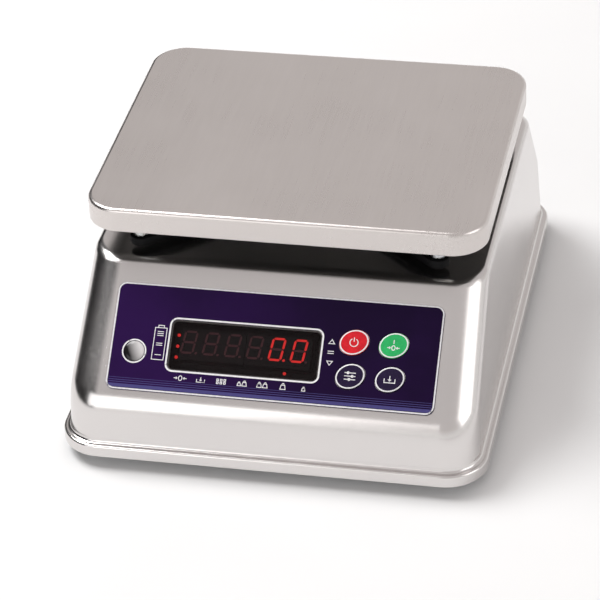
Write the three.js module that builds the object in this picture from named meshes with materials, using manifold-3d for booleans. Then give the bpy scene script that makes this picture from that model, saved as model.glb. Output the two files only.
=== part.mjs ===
// Bench scale with a stainless housing: a flat pan on a carrier, a single-point load cell
// inside a drawn housing, and a sloped front panel with a display and four keys.
// Millimetres, +Z up. The origin is on the floor under the middle of the base; the front is -Y.
import * as THREE from "three";
import { mergeVertices } from "three/addons/utils/BufferGeometryUtils.js";
import Module from "manifold-3d";

const wasm = await Module();
wasm.setup();

// ---------------------------------------------------------------- driving dimensions
const degrees = THREE.MathUtils.degToRad;
const GAP = 0.3; // left between pieces that touch, and round anything that passes through a hole

// Housing, drawn from one sheet
const BASE_WIDTH = 246;
const BASE_DEPTH = 298;
const BASE_CORNER = 24;
const TOP_HEIGHT = 98;
const SHEET = 1.2;
const RIM_BOTTOM = 8;
const RIM_HEIGHT = 7;
const RIM_EDGE = 1.5;
const LEDGE = 4.2;
const COVE = 2;
const SIDE_LEAN = degrees(3.1);
const SIDE_BEND = 4;
const APRON_LEAN = degrees(2);
const PANEL_TILT = degrees(40.6);
const FRONT_TOP_INSET = 72.1; // from the front of the rim back to where slope and top plate meet
const FRONT_LOW_BEND = 20;
const FRONT_TOP_BEND = 12;
const REAR_TILT = degrees(59.5);
const REAR_TOP_INSET = 31.1;
const REAR_LOW_BEND = 12;
const REAR_TOP_BEND = 8;
const LEVEL_SPACING = 0.1; // levels of the housing closer together than this are merged
const WELD_DEPTH = SHEET * 0.6; // how far a tab inside runs into the sheet that it is welded to

// Base plate, its gasket, screws and feet
const PLATE_RECESS = 0.6; // the plate sits this far up inside the rim
const PLATE_THICKNESS = 2;
const PLATE_CLEARANCE = 0.5;
const GASKET_WIDTH = 4.5;
const FOOT_INSET_X = 28;
const FOOT_INSET_Y = 30;
const FOOT_PAD_RADIUS = 13;
const FOOT_PAD_HEIGHT = 6;
const FOOT_STUD_RADIUS = 3;
const FOOT_STUD_LENGTH = 23;
const FOOT_NUT_RADIUS = 6.5;
const FOOT_NUT_HEIGHT = 6;
const FOOT_PAD_CHAMFER = 1;
const FOOT_PAD_SHOULDER = 2;
const BASE_SCREW_RADIUS = 2;
const BASE_SCREW_HEAD_RADIUS = 4;
const BASE_SCREW_HEAD_HEIGHT = 2.2;
const BASE_SCREW_X = 70; // the front and rear screws; the other two are halfway along the sides
const LUG_LENGTH = 13;
const LUG_WIDTH = 16;
const LUG_THICKNESS = 2.5;
const LUG_RISE = 11;

// Pan and what carries it
const PAN_WIDTH = 230;
const PAN_DEPTH = 190;
const PAN_CORNER = 20.5;
const PAN_SKIRT = 14.5;
const PAN_SHEET = 1;
const PAN_BEND = 2.5;
const PAN_Y = 10;
const SPIDER_LIFT = 3.5; // underside of the spider above the housing's top plate
const SPIDER_THICKNESS = 5;
const SPIDER_HUB_RADIUS = 26;
const SPIDER_ARM_WIDTH = 13;
const PEG_X = 86;
const PEG_Y = 75;
const PEG_HEIGHT = 25.9;
const PEG_RADIUS = 6.5;
const PEG_NECK_RADIUS = 2.8;
const PEG_HEAD_HEIGHT = 7; // from the top of the peg down to its neck
const PEG_HEAD_TAPER = 2;
const PEG_HEAD_CHAMFER = 1.5;
const PEG_NUT_RADIUS = 4.4;
const PEG_NUT_HEIGHT = 4;
const SPIDER_SCREW_LENGTH = 16;
const SPIDER_SCREW_HEAD_RADIUS = 6;
const SPIDER_SCREW_HEAD_HEIGHT = 3.4;
const POST_RADIUS = 11;
const POST_FLANGE_RADIUS = 14;
const POST_FLANGE_HEIGHT = 4;
const POST_HOLE_RADIUS = 22;
const SEAL_RADIUS = 29;
const SEAL_THICKNESS = 0.8;
const SEAL_RING_THICKNESS = 1.2;

// Load cell and the blocks at its two ends
const CELL_LENGTH = 130;
const CELL_WIDTH = 30;
const CELL_HEIGHT = 22;
const CELL_BORE_RADIUS = 7.5;
const CELL_BORE_X = 16;
const CELL_SLOT_HEIGHT = 5;
const CELL_END = 34; // length of each clamped end
const CELL_BLOCK_HEIGHT = 12;
const CELL_SPACER_HEIGHT = 6;
const BRACKET_THICKNESS = 6;
const BRACKET_OVERHANG = 20; // past the middle, so that the post stands on it
const CELL_SCREW_RADIUS = 3;
const CELL_SCREW_SPACING = 16;
const CELL_SCREW_GRIP = 14;
const CELL_SCREW_HEAD_RADIUS = 5;
const CELL_SCREW_HEAD_HEIGHT = 3.4;
const STOP_RADIUS = 4;
const STOP_FLANGE_RADIUS = 6.4;
const STOP_FLANGE_HEIGHT = 4;
const STOP_CLEARANCE = 0.8; // overload stop, below the free end of the cell

// Front panel; u runs to the right and v up the slope, from the panel's middle
const PANEL_WIDTH = 188;
const PANEL_HEIGHT = 62.7;
const PANEL_CORNER = 5;
const PANEL_FROM_TOP = 15.4; // down the slope from where it meets the top plate
const PANEL_THICKNESS = 0.8;
const WINDOW_WIDTH = 86.8;
const WINDOW_HEIGHT = 29.7;
const WINDOW_CORNER = 3.5;
const WINDOW_U = -16.8;
const WINDOW_V = -3;
const WINDOW_BODY_INSET = 1.2; // the part behind the panel is this much smaller all round
const WINDOW_BODY_DEPTH = 3;
const DIGIT_PITCH = 12.7;
const DIGITS_PER_MODULE = 3;
const MODULE_HEIGHT = 19;
const MODULE_DEPTH = 8;
const MODULE_U = -17.2;
const MODULE_V = -0.9;
const KEY_LONG_RADIUS = 8.6;
const KEY_SHORT_RADIUS = 7.1;
const KEY_TURN = degrees(23.6);
const KEY_LEFT_U = 45;
const KEY_RIGHT_U = 67.5;
const KEY_UPPER_V = 6.9;
const KEY_LOWER_V = -12.75;
const KEY_TRAVEL = 0.5;
const KEY_REST = 0.1; // left under a key that is pressed, above the back of the panel
const KEY_RISE = 0.9; // crown of a key above the panel
const KEY_EDGE = 0.5; // how far the crown draws in above the key's upright edge
const KEY_STEM_RADIUS = 2.5;
const LEVEL_U = -79.9;
const LEVEL_V = -8.65;
const LEVEL_RADIUS = 5.9;
const LEVEL_RISE = 1; // crown of the level window above the panel
const VIAL_RADIUS = 6.5;
const VIAL_HEIGHT = 7;
const VIAL_DEPTH = 12; // centre of the vial behind the slope

// Boards, battery and charging socket
const BOARD_THICKNESS = 1.6;
const DISPLAY_BOARD_LEFT = -68;
const DISPLAY_BOARD_RIGHT = 80;
const DISPLAY_BOARD_LOW = -29;
const DISPLAY_BOARD_HIGH = 21;
const PILLAR_RADIUS = 3;
const PILLAR_INSET = 5;
const SWITCH_SIZE = 6;
const SWITCH_HEIGHT = 3.5;
const PLUNGER_RADIUS = 1.75;
const PLUNGER_HEIGHT = 1;
const MAIN_BOARD_LEFT = -80;
const MAIN_BOARD_LENGTH = 80;
const MAIN_BOARD_WIDTH = 55;
const MAIN_BOARD_HEIGHT = 5.5; // above the base plate
const CELL_TO_BOARD = 12;
const PROCESSOR_SIZE = 16;
const PROCESSOR_HEIGHT = 2;
const CONNECTOR_LENGTH = 48;
const CONNECTOR_WIDTH = 7;
const CONNECTOR_HEIGHT = 8;
const CONNECTOR_INSET = 3; // from the back edge of the board
const CAPACITOR_RADIUS = 4;
const CAPACITOR_HEIGHT = 11;
const CAPACITOR_X = 22; // from the middle of the board
const CAPACITOR_YS = [-8, 4];
const BATTERY_LENGTH = 100;
const BATTERY_WIDTH = 70;
const BATTERY_HEIGHT = 47;
const CELL_TO_BATTERY = 12;
const TAB_WIDTH = 4.8;
const TAB_THICKNESS = 1;
const TAB_HEIGHT = 6;
const TAB_FROM_END = 10;
const TAB_FROM_FRONT = 5;
const STRAP_THICKNESS = 1.5;
const STRAP_WIDTH = 25;
const STRAP_FOOT = 14;
const SOCKET_X = 70;
const SOCKET_Z = 31;
const SOCKET_RADIUS = 5.5;
const SOCKET_FLANGE_RADIUS = 8;
const SOCKET_FLANGE = 1.3;
const SOCKET_DEPTH = 14;
const SOCKET_BORE_RADIUS = 2.8;
const SOCKET_BORE_DEPTH = 9;
const SOCKET_PIN_RADIUS = 1;
const SOCKET_PIN_END = -0.5; // from the wall, which keeps the pin inside the flange
const CAP_RADIUS = 7.5;
const CAP_THICKNESS = 2.2;
const CAP_CHAMFER = 0.7;
const CAP_PLUG_DEPTH = 6;

// ---------------------------------------------------------------- levels and places
const RIM_TOP = RIM_BOTTOM + RIM_HEIGHT;
const PLATE_BOTTOM = RIM_BOTTOM + PLATE_RECESS;
const PLATE_TOP = PLATE_BOTTOM + PLATE_THICKNESS;
const FLOOR = PLATE_TOP + GAP; // what stands on the base plate starts here
const CELL_BOTTOM = FLOOR + CELL_BLOCK_HEIGHT + GAP;
const CELL_TOP = CELL_BOTTOM + CELL_HEIGHT;
const BRACKET_BOTTOM = CELL_TOP + GAP + CELL_SPACER_HEIGHT + GAP;
const BRACKET_TOP = BRACKET_BOTTOM + BRACKET_THICKNESS;
const SPIDER_BOTTOM = TOP_HEIGHT + SPIDER_LIFT;
const SPIDER_TOP = SPIDER_BOTTOM + SPIDER_THICKNESS;
const PAN_UNDERSIDE = SPIDER_TOP + GAP + PEG_HEIGHT + GAP;
const PAN_TOP = PAN_UNDERSIDE + PAN_SHEET;
const CELL_END_X = CELL_LENGTH / 2 - CELL_END / 2;
const CELL_SCREW_XS = [CELL_END_X - CELL_SCREW_SPACING / 2, CELL_END_X + CELL_SCREW_SPACING / 2];
const FOOT_X = BASE_WIDTH / 2 - FOOT_INSET_X;
const FOOT_Y = BASE_DEPTH / 2 - FOOT_INSET_Y;
const BOARD_FRONT_W = -WINDOW_BODY_DEPTH - GAP - MODULE_DEPTH - GAP; // front face of the display board
const KEYS = [
  { name: "off", u: KEY_LEFT_U, v: KEY_UPPER_V, colour: 0xc22330 },
  { name: "on_zero", u: KEY_RIGHT_U, v: KEY_UPPER_V, colour: 0x2fa36b },
  { name: "set", u: KEY_LEFT_U, v: KEY_LOWER_V, colour: 0x241648 },
  { name: "tare", u: KEY_RIGHT_U, v: KEY_LOWER_V, colour: 0x241648 },
];

// The panel's own frame: x to the right, y up the slope, z straight out of it.
const panel = new THREE.Group();
const panelDown = PANEL_FROM_TOP + PANEL_HEIGHT / 2;
panel.position.set(
  0,
  -BASE_DEPTH / 2 + FRONT_TOP_INSET - panelDown * Math.cos(PANEL_TILT),
  TOP_HEIGHT - panelDown * Math.sin(PANEL_TILT),
);
panel.rotation.x = PANEL_TILT;
panel.updateMatrix();

// The charging socket's frame: z straight out of the leaning rear apron.
const socketPlace = new THREE.Group();
const apronAtSocket = BASE_DEPTH / 2 - LEDGE - (SOCKET_Z - RIM_TOP) * Math.tan(APRON_LEAN);
socketPlace.position.set(SOCKET_X, apronAtSocket, SOCKET_Z);
socketPlace.rotation.x = APRON_LEAN - Math.PI / 2;
socketPlace.updateMatrix();

// ---------------------------------------------------------------- solids
// A closed three.js geometry as a manifold-3d solid, ready to join and cut.
function solid(geometry) {
  const bare = geometry.clone();
  bare.deleteAttribute("normal");
  bare.deleteAttribute("uv");
  const merged = mergeVertices(bare);
  const index = merged.index.array;
  const kept = [];
  for (let i = 0; i < index.length; i += 3) {
    const [a, b, c] = [index[i], index[i + 1], index[i + 2]];
    if (a !== b && b !== c && c !== a) kept.push(a, b, c);
  }
  return new wasm.Manifold(
    new wasm.Mesh({
      numProp: 3,
      vertProperties: merged.attributes.position.array,
      triVerts: new Uint32Array(kept),
    }),
  );
}

const join = (first, ...others) => others.reduce((sum, other) => sum.add(other), first);
const cut = (first, ...others) => others.reduce((rest, other) => rest.subtract(other), first);
const inFrame = (shape, group) => shape.transform(group.matrix.elements);

function block(x0, x1, y0, y1, z0, z1) {
  const box = new THREE.BoxGeometry(x1 - x0, y1 - y0, z1 - z0);
  return solid(box.translate((x0 + x1) / 2, (y0 + y1) / 2, (z0 + z1) / 2));
}

// An upright round bar; with six sides it is a hexagon.
function rod(radius, z0, z1, x = 0, y = 0, sides = 20) {
  const bar = new THREE.CylinderGeometry(radius, radius, z1 - z0, sides);
  return solid(bar.rotateX(Math.PI / 2).translate(x, y, (z0 + z1) / 2));
}

// A turned piece on the Z axis, from [radius, z] points that go round its section anticlockwise.
function turned(section, sides = 18) {
  const points = section.map(([radius, z]) => new THREE.Vector2(radius, z));
  return solid(new THREE.LatheGeometry(points, sides).rotateX(Math.PI / 2));
}

// A flat plate of an outline, from z0 up to z1.
function plate(shape, z0, z1, curveSegments = 3) {
  const depth = z1 - z0;
  return solid(
    new THREE.ExtrudeGeometry(shape, { depth, bevelEnabled: false, curveSegments }).translate(0, 0, z0),
  );
}

function roundedRect(width, depth, radius, x = 0, y = 0) {
  const right = x + width / 2 - radius;
  const left = x - width / 2 + radius;
  const back = y + depth / 2 - radius;
  const front = y - depth / 2 + radius;
  const shape = new THREE.Shape();
  shape.absarc(right, back, radius, 0, Math.PI / 2);
  shape.absarc(left, back, radius, Math.PI / 2, Math.PI);
  shape.absarc(left, front, radius, Math.PI, 1.5 * Math.PI);
  shape.absarc(right, front, radius, 1.5 * Math.PI, 2 * Math.PI);
  shape.closePath();
  return shape;
}

function ellipse(u, v, long, short, turn) {
  const shape = new THREE.Shape();
  shape.absellipse(u, v, long, short, 0, 2 * Math.PI, false, turn);
  return shape;
}

// One level of a drawn shell: a rectangle with round corners, as points in anticlockwise order.
const CORNER_STEPS = 5;
function level({ side, front, rear, corner, z }) {
  const centres = [
    [side - corner, rear - corner],
    [-side + corner, rear - corner],
    [-side + corner, -front + corner],
    [side - corner, -front + corner],
  ];
  const points = [];
  centres.forEach(([x, y], quarter) => {
    for (let step = 0; step <= CORNER_STEPS; step++) {
      const angle = (quarter + step / CORNER_STEPS) * (Math.PI / 2);
      points.push([x + corner * Math.cos(angle), y + corner * Math.sin(angle), z]);
    }
  });
  return points;
}

// A solid through a stack of levels, closed at its bottom and top.
function loft(levels) {
  const count = levels[0].length;
  const triangles = [];
  for (let k = 0; k + 1 < levels.length; k++) {
    for (let i = 0; i < count; i++) {
      const next = (i + 1) % count;
      const [a, b] = [k * count + i, k * count + next];
      triangles.push(a, b, b + count, a, b + count, a + count);
    }
  }
  const top = (levels.length - 1) * count;
  for (let i = 1; i + 1 < count; i++) {
    triangles.push(0, i + 1, i);
    triangles.push(top, top + i, top + i + 1);
  }
  const geometry = new THREE.BufferGeometry();
  geometry.setAttribute("position", new THREE.Float32BufferAttribute(levels.flat(2), 3));
  geometry.setIndex(triangles);
  return solid(geometry);
}

const steps = (count) => Array.from({ length: count + 1 }, (_, i) => i / count);

// Four named places at the corners of a rectangle, given its half sizes and its middle's y.
function cornerPlaces(halfX, halfY, middleY) {
  const places = [];
  for (const [side, x] of [["left", -halfX], ["right", halfX]]) {
    for (const [end, y] of [["front", -halfY], ["rear", halfY]]) {
      places.push({ name: `${end}_${side}`, x, y: middleY + y });
    }
  }
  return places;
}

// ---------------------------------------------------------------- the housing's faces
// Each face gives how far it stands out from the middle at a height z, for the outer surface
// (inset 0) or the inner one (inset SHEET), and the heights where its bends need a level.
const BEND_STEPS = 3;
const onArc = (bend, z) => bend.out + Math.sqrt(Math.max(0, bend.radius ** 2 - (z - bend.z) ** 2));
const arcLevels = (bend, from, to) =>
  steps(BEND_STEPS).map((t) => bend.z + bend.radius * Math.sin(from + (to - from) * t));

// A side: one leaning wall that bends into the top plate.
function sideFace(foot, inset) {
  const wall = (z, shift) => foot - (z - RIM_TOP) * Math.tan(SIDE_LEAN) - shift / Math.cos(SIDE_LEAN);
  const bendZ = TOP_HEIGHT - SIDE_BEND;
  const bend = { z: bendZ, out: wall(bendZ, SIDE_BEND), radius: SIDE_BEND - inset };
  const start = bend.z + bend.radius * Math.sin(SIDE_LEAN);
  return {
    out: (z) => (z <= start ? wall(z, inset) : onArc(bend, z)),
    bentIn: (z) => (z <= start ? 0 : wall(z, inset) - onArc(bend, z)),
    levels: arcLevels(bend, SIDE_LEAN, Math.PI / 2),
  };
}

// The front or the rear: a nearly upright apron, a slope, and the top plate, with a bend between each.
function slopedFace({ foot, tilt, edge, lowBend, topBend }, inset) {
  const apron = (z, shift) => foot - (z - RIM_TOP) * Math.tan(APRON_LEAN) - shift / Math.cos(APRON_LEAN);
  const slope = (z, shift) => edge + (TOP_HEIGHT - z) / Math.tan(tilt) - shift / Math.sin(tilt);
  // A bend's centre lies its radius inside both faces that it joins.
  const closing = 1 / Math.tan(tilt) - Math.tan(APRON_LEAN);
  const lowZ = (slope(0, lowBend) - apron(0, lowBend)) / closing;
  const low = { z: lowZ, out: apron(lowZ, lowBend), radius: lowBend - inset };
  const topZ = TOP_HEIGHT - topBend;
  const top = { z: topZ, out: slope(topZ, topBend), radius: topBend - inset };
  const slopeNormal = Math.PI / 2 - tilt;
  const lowStart = low.z + low.radius * Math.sin(APRON_LEAN);
  const lowEnd = low.z + low.radius * Math.sin(slopeNormal);
  const topStart = top.z + top.radius * Math.sin(slopeNormal);
  const out = (z) => {
    if (z <= lowStart) return apron(z, inset);
    if (z < lowEnd) return onArc(low, z);
    if (z <= topStart) return slope(z, inset);
    return onArc(top, z);
  };
  const levels = [...arcLevels(low, APRON_LEAN, slopeNormal), ...arcLevels(top, slopeNormal, Math.PI / 2)];
  return { out, levels };
}

function housingLevels(inset, bottom) {
  const rim = (shift, z) =>
    level({
      side: BASE_WIDTH / 2 - shift,
      front: BASE_DEPTH / 2 - shift,
      rear: BASE_DEPTH / 2 - shift,
      corner: BASE_CORNER - shift,
      z,
    });
  const stack = [rim(inset, bottom)];
  const edge = RIM_EDGE - inset;
  for (const t of steps(2)) {
    const angle = (t * Math.PI) / 2;
    stack.push(rim(RIM_EDGE - edge * Math.cos(angle), RIM_TOP - RIM_EDGE + edge * Math.sin(angle)));
  }
  const cove = COVE + inset;
  for (const t of steps(3)) {
    const angle = (t * Math.PI) / 2;
    stack.push(rim(LEDGE - COVE + cove * Math.sin(angle), RIM_TOP + COVE - cove * Math.cos(angle)));
  }
  const side = sideFace(BASE_WIDTH / 2 - LEDGE, inset);
  const foot = BASE_DEPTH / 2 - LEDGE;
  const front = slopedFace(
    {
      foot,
      tilt: PANEL_TILT,
      edge: BASE_DEPTH / 2 - FRONT_TOP_INSET,
      lowBend: FRONT_LOW_BEND,
      topBend: FRONT_TOP_BEND,
    },
    inset,
  );
  const rear = slopedFace(
    {
      foot,
      tilt: REAR_TILT,
      edge: BASE_DEPTH / 2 - REAR_TOP_INSET,
      lowBend: REAR_LOW_BEND,
      topBend: REAR_TOP_BEND,
    },
    inset,
  );
  const first = RIM_TOP + COVE + LEVEL_SPACING;
  const last = TOP_HEIGHT - inset;
  const wanted = [first, ...side.levels, ...front.levels, ...rear.levels]
    .filter((z) => z >= first && z < last - LEVEL_SPACING)
    .sort((a, b) => a - b);
  const heights = wanted.filter((z, i) => i === 0 || z - wanted[i - 1] > LEVEL_SPACING);
  heights.push(last);
  const corner = BASE_CORNER - LEDGE - inset;
  for (const z of heights) {
    stack.push(
      level({
        side: side.out(z),
        front: front.out(z),
        rear: rear.out(z),
        corner: corner - side.bentIn(z),
        z,
      }),
    );
  }
  return stack;
}

// ---------------------------------------------------------------- base screws and their lugs
const wallInside = (half) => half - LEDGE - SHEET; // inner face of a wall at its foot
const LUG_FROM_WALL = 1.6; // clears the gasket
const SCREW_FROM_WALL = LUG_FROM_WALL + LUG_LENGTH / 2;
const SCREWS = [
  { x: wallInside(BASE_WIDTH / 2), y: 0, turn: 0 },
  { x: -wallInside(BASE_WIDTH / 2), y: 0, turn: Math.PI },
];
for (const x of [-BASE_SCREW_X, BASE_SCREW_X]) {
  SCREWS.push({ x, y: wallInside(BASE_DEPTH / 2), turn: Math.PI / 2 });
  SCREWS.push({ x, y: -wallInside(BASE_DEPTH / 2), turn: -Math.PI / 2 });
}
const screwPoints = SCREWS.map(({ x, y, turn }) => [
  x - SCREW_FROM_WALL * Math.cos(turn),
  y - SCREW_FROM_WALL * Math.sin(turn),
]);

// A bent tab, welded inside the wall, that a base screw goes into.
function lug({ x, y, turn }) {
  const place = new THREE.Group();
  place.position.set(x, y, 0);
  place.rotation.z = turn;
  place.updateMatrix();
  const half = LUG_WIDTH / 2;
  const outer = -LUG_FROM_WALL;
  const weldBottom = RIM_TOP + COVE;
  const tab = join(
    block(outer - LUG_LENGTH, outer, -half, half, FLOOR, FLOOR + LUG_THICKNESS),
    block(outer - LUG_THICKNESS, outer, -half, half, FLOOR, FLOOR + LUG_RISE),
    block(outer - LUG_THICKNESS, WELD_DEPTH, -half, half, weldBottom, FLOOR + LUG_RISE),
  );
  const hole = rod(BASE_SCREW_RADIUS + GAP, 0, TOP_HEIGHT / 2, -SCREW_FROM_WALL, 0, 12);
  return inFrame(cut(tab, hole), place);
}

// ---------------------------------------------------------------- housing and base
function housing() {
  const shell = cut(loft(housingLevels(0, RIM_BOTTOM)), loft(housingLevels(SHEET, RIM_BOTTOM - 1)));
  const through = [-2 * SHEET, 2 * SHEET];
  const body = WINDOW_BODY_INSET - GAP;
  const width = WINDOW_WIDTH - 2 * body;
  const height = WINDOW_HEIGHT - 2 * body;
  const display = plate(roundedRect(width, height, WINDOW_CORNER - body, WINDOW_U, WINDOW_V), ...through);
  const stems = KEYS.map(({ u, v }) => rod(KEY_STEM_RADIUS + GAP, ...through, u, v, 12));
  const levelHole = rod(LEVEL_RADIUS + GAP, ...through, LEVEL_U, LEVEL_V, 18);
  const postHole = rod(POST_HOLE_RADIUS, TOP_HEIGHT - 2 * SHEET, TOP_HEIGHT + 1, 0, PAN_Y, 24);
  const socketHole = rod(SOCKET_RADIUS + GAP, ...through, 0, 0, 16);
  const pillarFoot = BOARD_FRONT_W + GAP;
  const pillars = pillarPlaces()
    .map(([u, v]) => rod(PILLAR_RADIUS, pillarFoot, -SHEET / 2, u, v, 12))
    .map((pillar) => inFrame(pillar, panel));
  return cut(
    join(shell, ...SCREWS.map(lug), ...pillars, vialShelf()),
    ...[display, levelHole, ...stems].map((hole) => inFrame(hole, panel)),
    postHole,
    inFrame(socketHole, socketPlace),
  );
}

function pillarPlaces() {
  const us = [DISPLAY_BOARD_LEFT + PILLAR_INSET, DISPLAY_BOARD_RIGHT - PILLAR_INSET];
  const vs = [DISPLAY_BOARD_LOW + PILLAR_INSET, DISPLAY_BOARD_HIGH - PILLAR_INSET];
  return us.flatMap((u) => vs.map((v) => [u, v]));
}

// Where the level vial stands, behind its window, in the housing's own axes.
const vialCentre = new THREE.Vector3(LEVEL_U, LEVEL_V, -VIAL_DEPTH).applyMatrix4(panel.matrix);

function vialShelf() {
  const top = vialCentre.z - VIAL_HEIGHT / 2 - GAP;
  const drop = TOP_HEIGHT - top;
  const slopeY = -BASE_DEPTH / 2 + FRONT_TOP_INSET - drop / Math.tan(PANEL_TILT);
  const inSheet = WELD_DEPTH / Math.sin(PANEL_TILT);
  return block(
    vialCentre.x - VIAL_RADIUS,
    vialCentre.x + VIAL_RADIUS,
    slopeY + inSheet,
    vialCentre.y + VIAL_RADIUS,
    top - SHEET,
    top,
  );
}

function basePlate() {
  const inset = SHEET + PLATE_CLEARANCE;
  const sheet = plate(
    roundedRect(BASE_WIDTH - 2 * inset, BASE_DEPTH - 2 * inset, BASE_CORNER - inset),
    PLATE_BOTTOM,
    PLATE_TOP,
  );
  const hole = (radius, x, y) => rod(radius + GAP, PLATE_BOTTOM - 1, PLATE_TOP + 1, x, y, 12);
  const standoffFoot = PLATE_BOTTOM + PLATE_THICKNESS / 4;
  const standoffTop = PLATE_TOP + MAIN_BOARD_HEIGHT - GAP;
  const standoffs = mainBoardCorners().map(([x, y]) =>
    rod(PILLAR_RADIUS, standoffFoot, standoffTop, x, y, 12),
  );
  return cut(
    join(sheet, ...standoffs),
    ...feet().map(({ x, y }) => hole(FOOT_STUD_RADIUS, x, y)),
    ...screwPoints.map(([x, y]) => hole(BASE_SCREW_RADIUS, x, y)),
    ...CELL_SCREW_XS.map((x) => hole(CELL_SCREW_RADIUS, -x, PAN_Y)),
  );
}

function baseGasket() {
  const outer = SHEET + PLATE_CLEARANCE;
  const inner = outer + GASKET_WIDTH;
  const ring = roundedRect(BASE_WIDTH - 2 * outer, BASE_DEPTH - 2 * outer, BASE_CORNER - outer);
  ring.holes.push(roundedRect(BASE_WIDTH - 2 * inner, BASE_DEPTH - 2 * inner, BASE_CORNER - inner));
  return plate(ring, FLOOR, RIM_TOP - SHEET - GAP);
}

// A screw that points up, with the underside of its head at the origin.
function screw(radius, headRadius, headHeight, length) {
  const head = rod(headRadius, -headHeight, 0, 0, 0, 12);
  return join(head, rod(radius, -headHeight / 2, length, 0, 0, 10));
}

// ---------------------------------------------------------------- feet
function feet() {
  return cornerPlaces(FOOT_X, FOOT_Y, 0);
}

const STUD_BOTTOM = FOOT_PAD_HEIGHT / 2; // the stud ends halfway down inside the pad
const footStud = () => rod(FOOT_STUD_RADIUS, STUD_BOTTOM, STUD_BOTTOM + FOOT_STUD_LENGTH, 0, 0, 12);
const footNut = () =>
  cut(
    rod(FOOT_NUT_RADIUS, FLOOR, FLOOR + FOOT_NUT_HEIGHT, 0, 0, 6),
    rod(FOOT_STUD_RADIUS + GAP, 0, FLOOR + FOOT_NUT_HEIGHT + 1, 0, 0, 12),
  );
const footPad = () =>
  cut(
    turned([
      [0, 0],
      [FOOT_PAD_RADIUS - FOOT_PAD_CHAMFER, 0],
      [FOOT_PAD_RADIUS, FOOT_PAD_CHAMFER],
      [FOOT_PAD_RADIUS, FOOT_PAD_HEIGHT - FOOT_PAD_SHOULDER],
      [FOOT_PAD_RADIUS - FOOT_PAD_SHOULDER, FOOT_PAD_HEIGHT],
      [0, FOOT_PAD_HEIGHT],
    ]),
    rod(FOOT_STUD_RADIUS + GAP, STUD_BOTTOM - GAP, FOOT_PAD_HEIGHT + 1, 0, 0, 12),
  );

// ---------------------------------------------------------------- load cell
function loadCell() {
  const half = CELL_LENGTH / 2;
  const side = CELL_WIDTH / 2;
  const middle = (CELL_BOTTOM + CELL_TOP) / 2;
  const bore = (x) => {
    const bar = new THREE.CylinderGeometry(CELL_BORE_RADIUS, CELL_BORE_RADIUS, CELL_WIDTH + 2, 20);
    return solid(bar.translate(x, PAN_Y, middle));
  };
  const slot = block(
    -CELL_BORE_X,
    CELL_BORE_X,
    PAN_Y - side - 1,
    PAN_Y + side + 1,
    middle - CELL_SLOT_HEIGHT / 2,
    middle + CELL_SLOT_HEIGHT / 2,
  );
  const radius = CELL_SCREW_RADIUS + GAP;
  const depth = CELL_SCREW_GRIP + 1;
  const fixed = CELL_SCREW_XS.map((x) => rod(radius, 0, CELL_BOTTOM + depth, -x, PAN_Y, 12));
  const free = CELL_SCREW_XS.map((x) => rod(radius, CELL_TOP - depth, TOP_HEIGHT, x, PAN_Y, 12));
  return cut(
    block(-half, half, PAN_Y - side, PAN_Y + side, CELL_BOTTOM, CELL_TOP),
    join(slot, bore(-CELL_BORE_X), bore(CELL_BORE_X)),
    ...fixed,
    ...free,
  );
}

// A block as wide as the cell, with the cell's screws through it; side is -1 or 1.
function cellBlock(side, x0, x1, z0, z1) {
  const radius = CELL_SCREW_RADIUS + GAP;
  const holes = CELL_SCREW_XS.map((x) => rod(radius, z0 - 1, z1 + 1, side * x, PAN_Y, 12));
  return cut(block(x0, x1, PAN_Y - CELL_WIDTH / 2, PAN_Y + CELL_WIDTH / 2, z0, z1), ...holes);
}

// A short pillar with a six-sided foot that the free end of the cell would rest on.
function overloadStop() {
  const flange = rod(STOP_FLANGE_RADIUS, FLOOR, FLOOR + STOP_FLANGE_HEIGHT, CELL_END_X, PAN_Y, 6);
  return join(flange, rod(STOP_RADIUS, FLOOR, CELL_BOTTOM - STOP_CLEARANCE, CELL_END_X, PAN_Y, 16));
}

// ---------------------------------------------------------------- carrier and pan
function post() {
  const bar = turned([
    [0, BRACKET_TOP + GAP],
    [POST_FLANGE_RADIUS, BRACKET_TOP + GAP],
    [POST_FLANGE_RADIUS, BRACKET_TOP + GAP + POST_FLANGE_HEIGHT],
    [POST_RADIUS, BRACKET_TOP + GAP + POST_FLANGE_HEIGHT],
    [POST_RADIUS, SPIDER_BOTTOM - GAP],
    [0, SPIDER_BOTTOM - GAP],
  ]).translate([0, PAN_Y, 0]);
  const tapped = rod(
    CELL_SCREW_RADIUS + GAP,
    SPIDER_BOTTOM - SPIDER_SCREW_LENGTH,
    SPIDER_BOTTOM + 1,
    0,
    PAN_Y,
    12,
  );
  return cut(bar, tapped);
}

function spider() {
  const arm = (x, y) => {
    const angle = Math.atan2(y, x);
    const length = Math.hypot(x, y);
    const half = SPIDER_ARM_WIDTH / 2;
    const shape = new THREE.Shape();
    shape.absarc(length, 0, half, -Math.PI / 2, Math.PI / 2);
    shape.lineTo(0, half);
    shape.lineTo(0, -half);
    shape.closePath();
    return plate(shape, SPIDER_BOTTOM, SPIDER_TOP, 4).rotate([0, 0, THREE.MathUtils.radToDeg(angle)]);
  };
  const hub = rod(SPIDER_HUB_RADIUS, SPIDER_BOTTOM, SPIDER_TOP, 0, 0, 24);
  const arms = pegPlaces().map(({ x, y }) => arm(x, y - PAN_Y));
  const hole = rod(CELL_SCREW_RADIUS + GAP, SPIDER_BOTTOM - 1, SPIDER_TOP + 1, 0, 0, 12);
  return cut(join(hub, ...arms), hole).translate([0, PAN_Y, 0]);
}

function pegPlaces() {
  return cornerPlaces(PEG_X, PEG_Y, PAN_Y);
}

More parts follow.
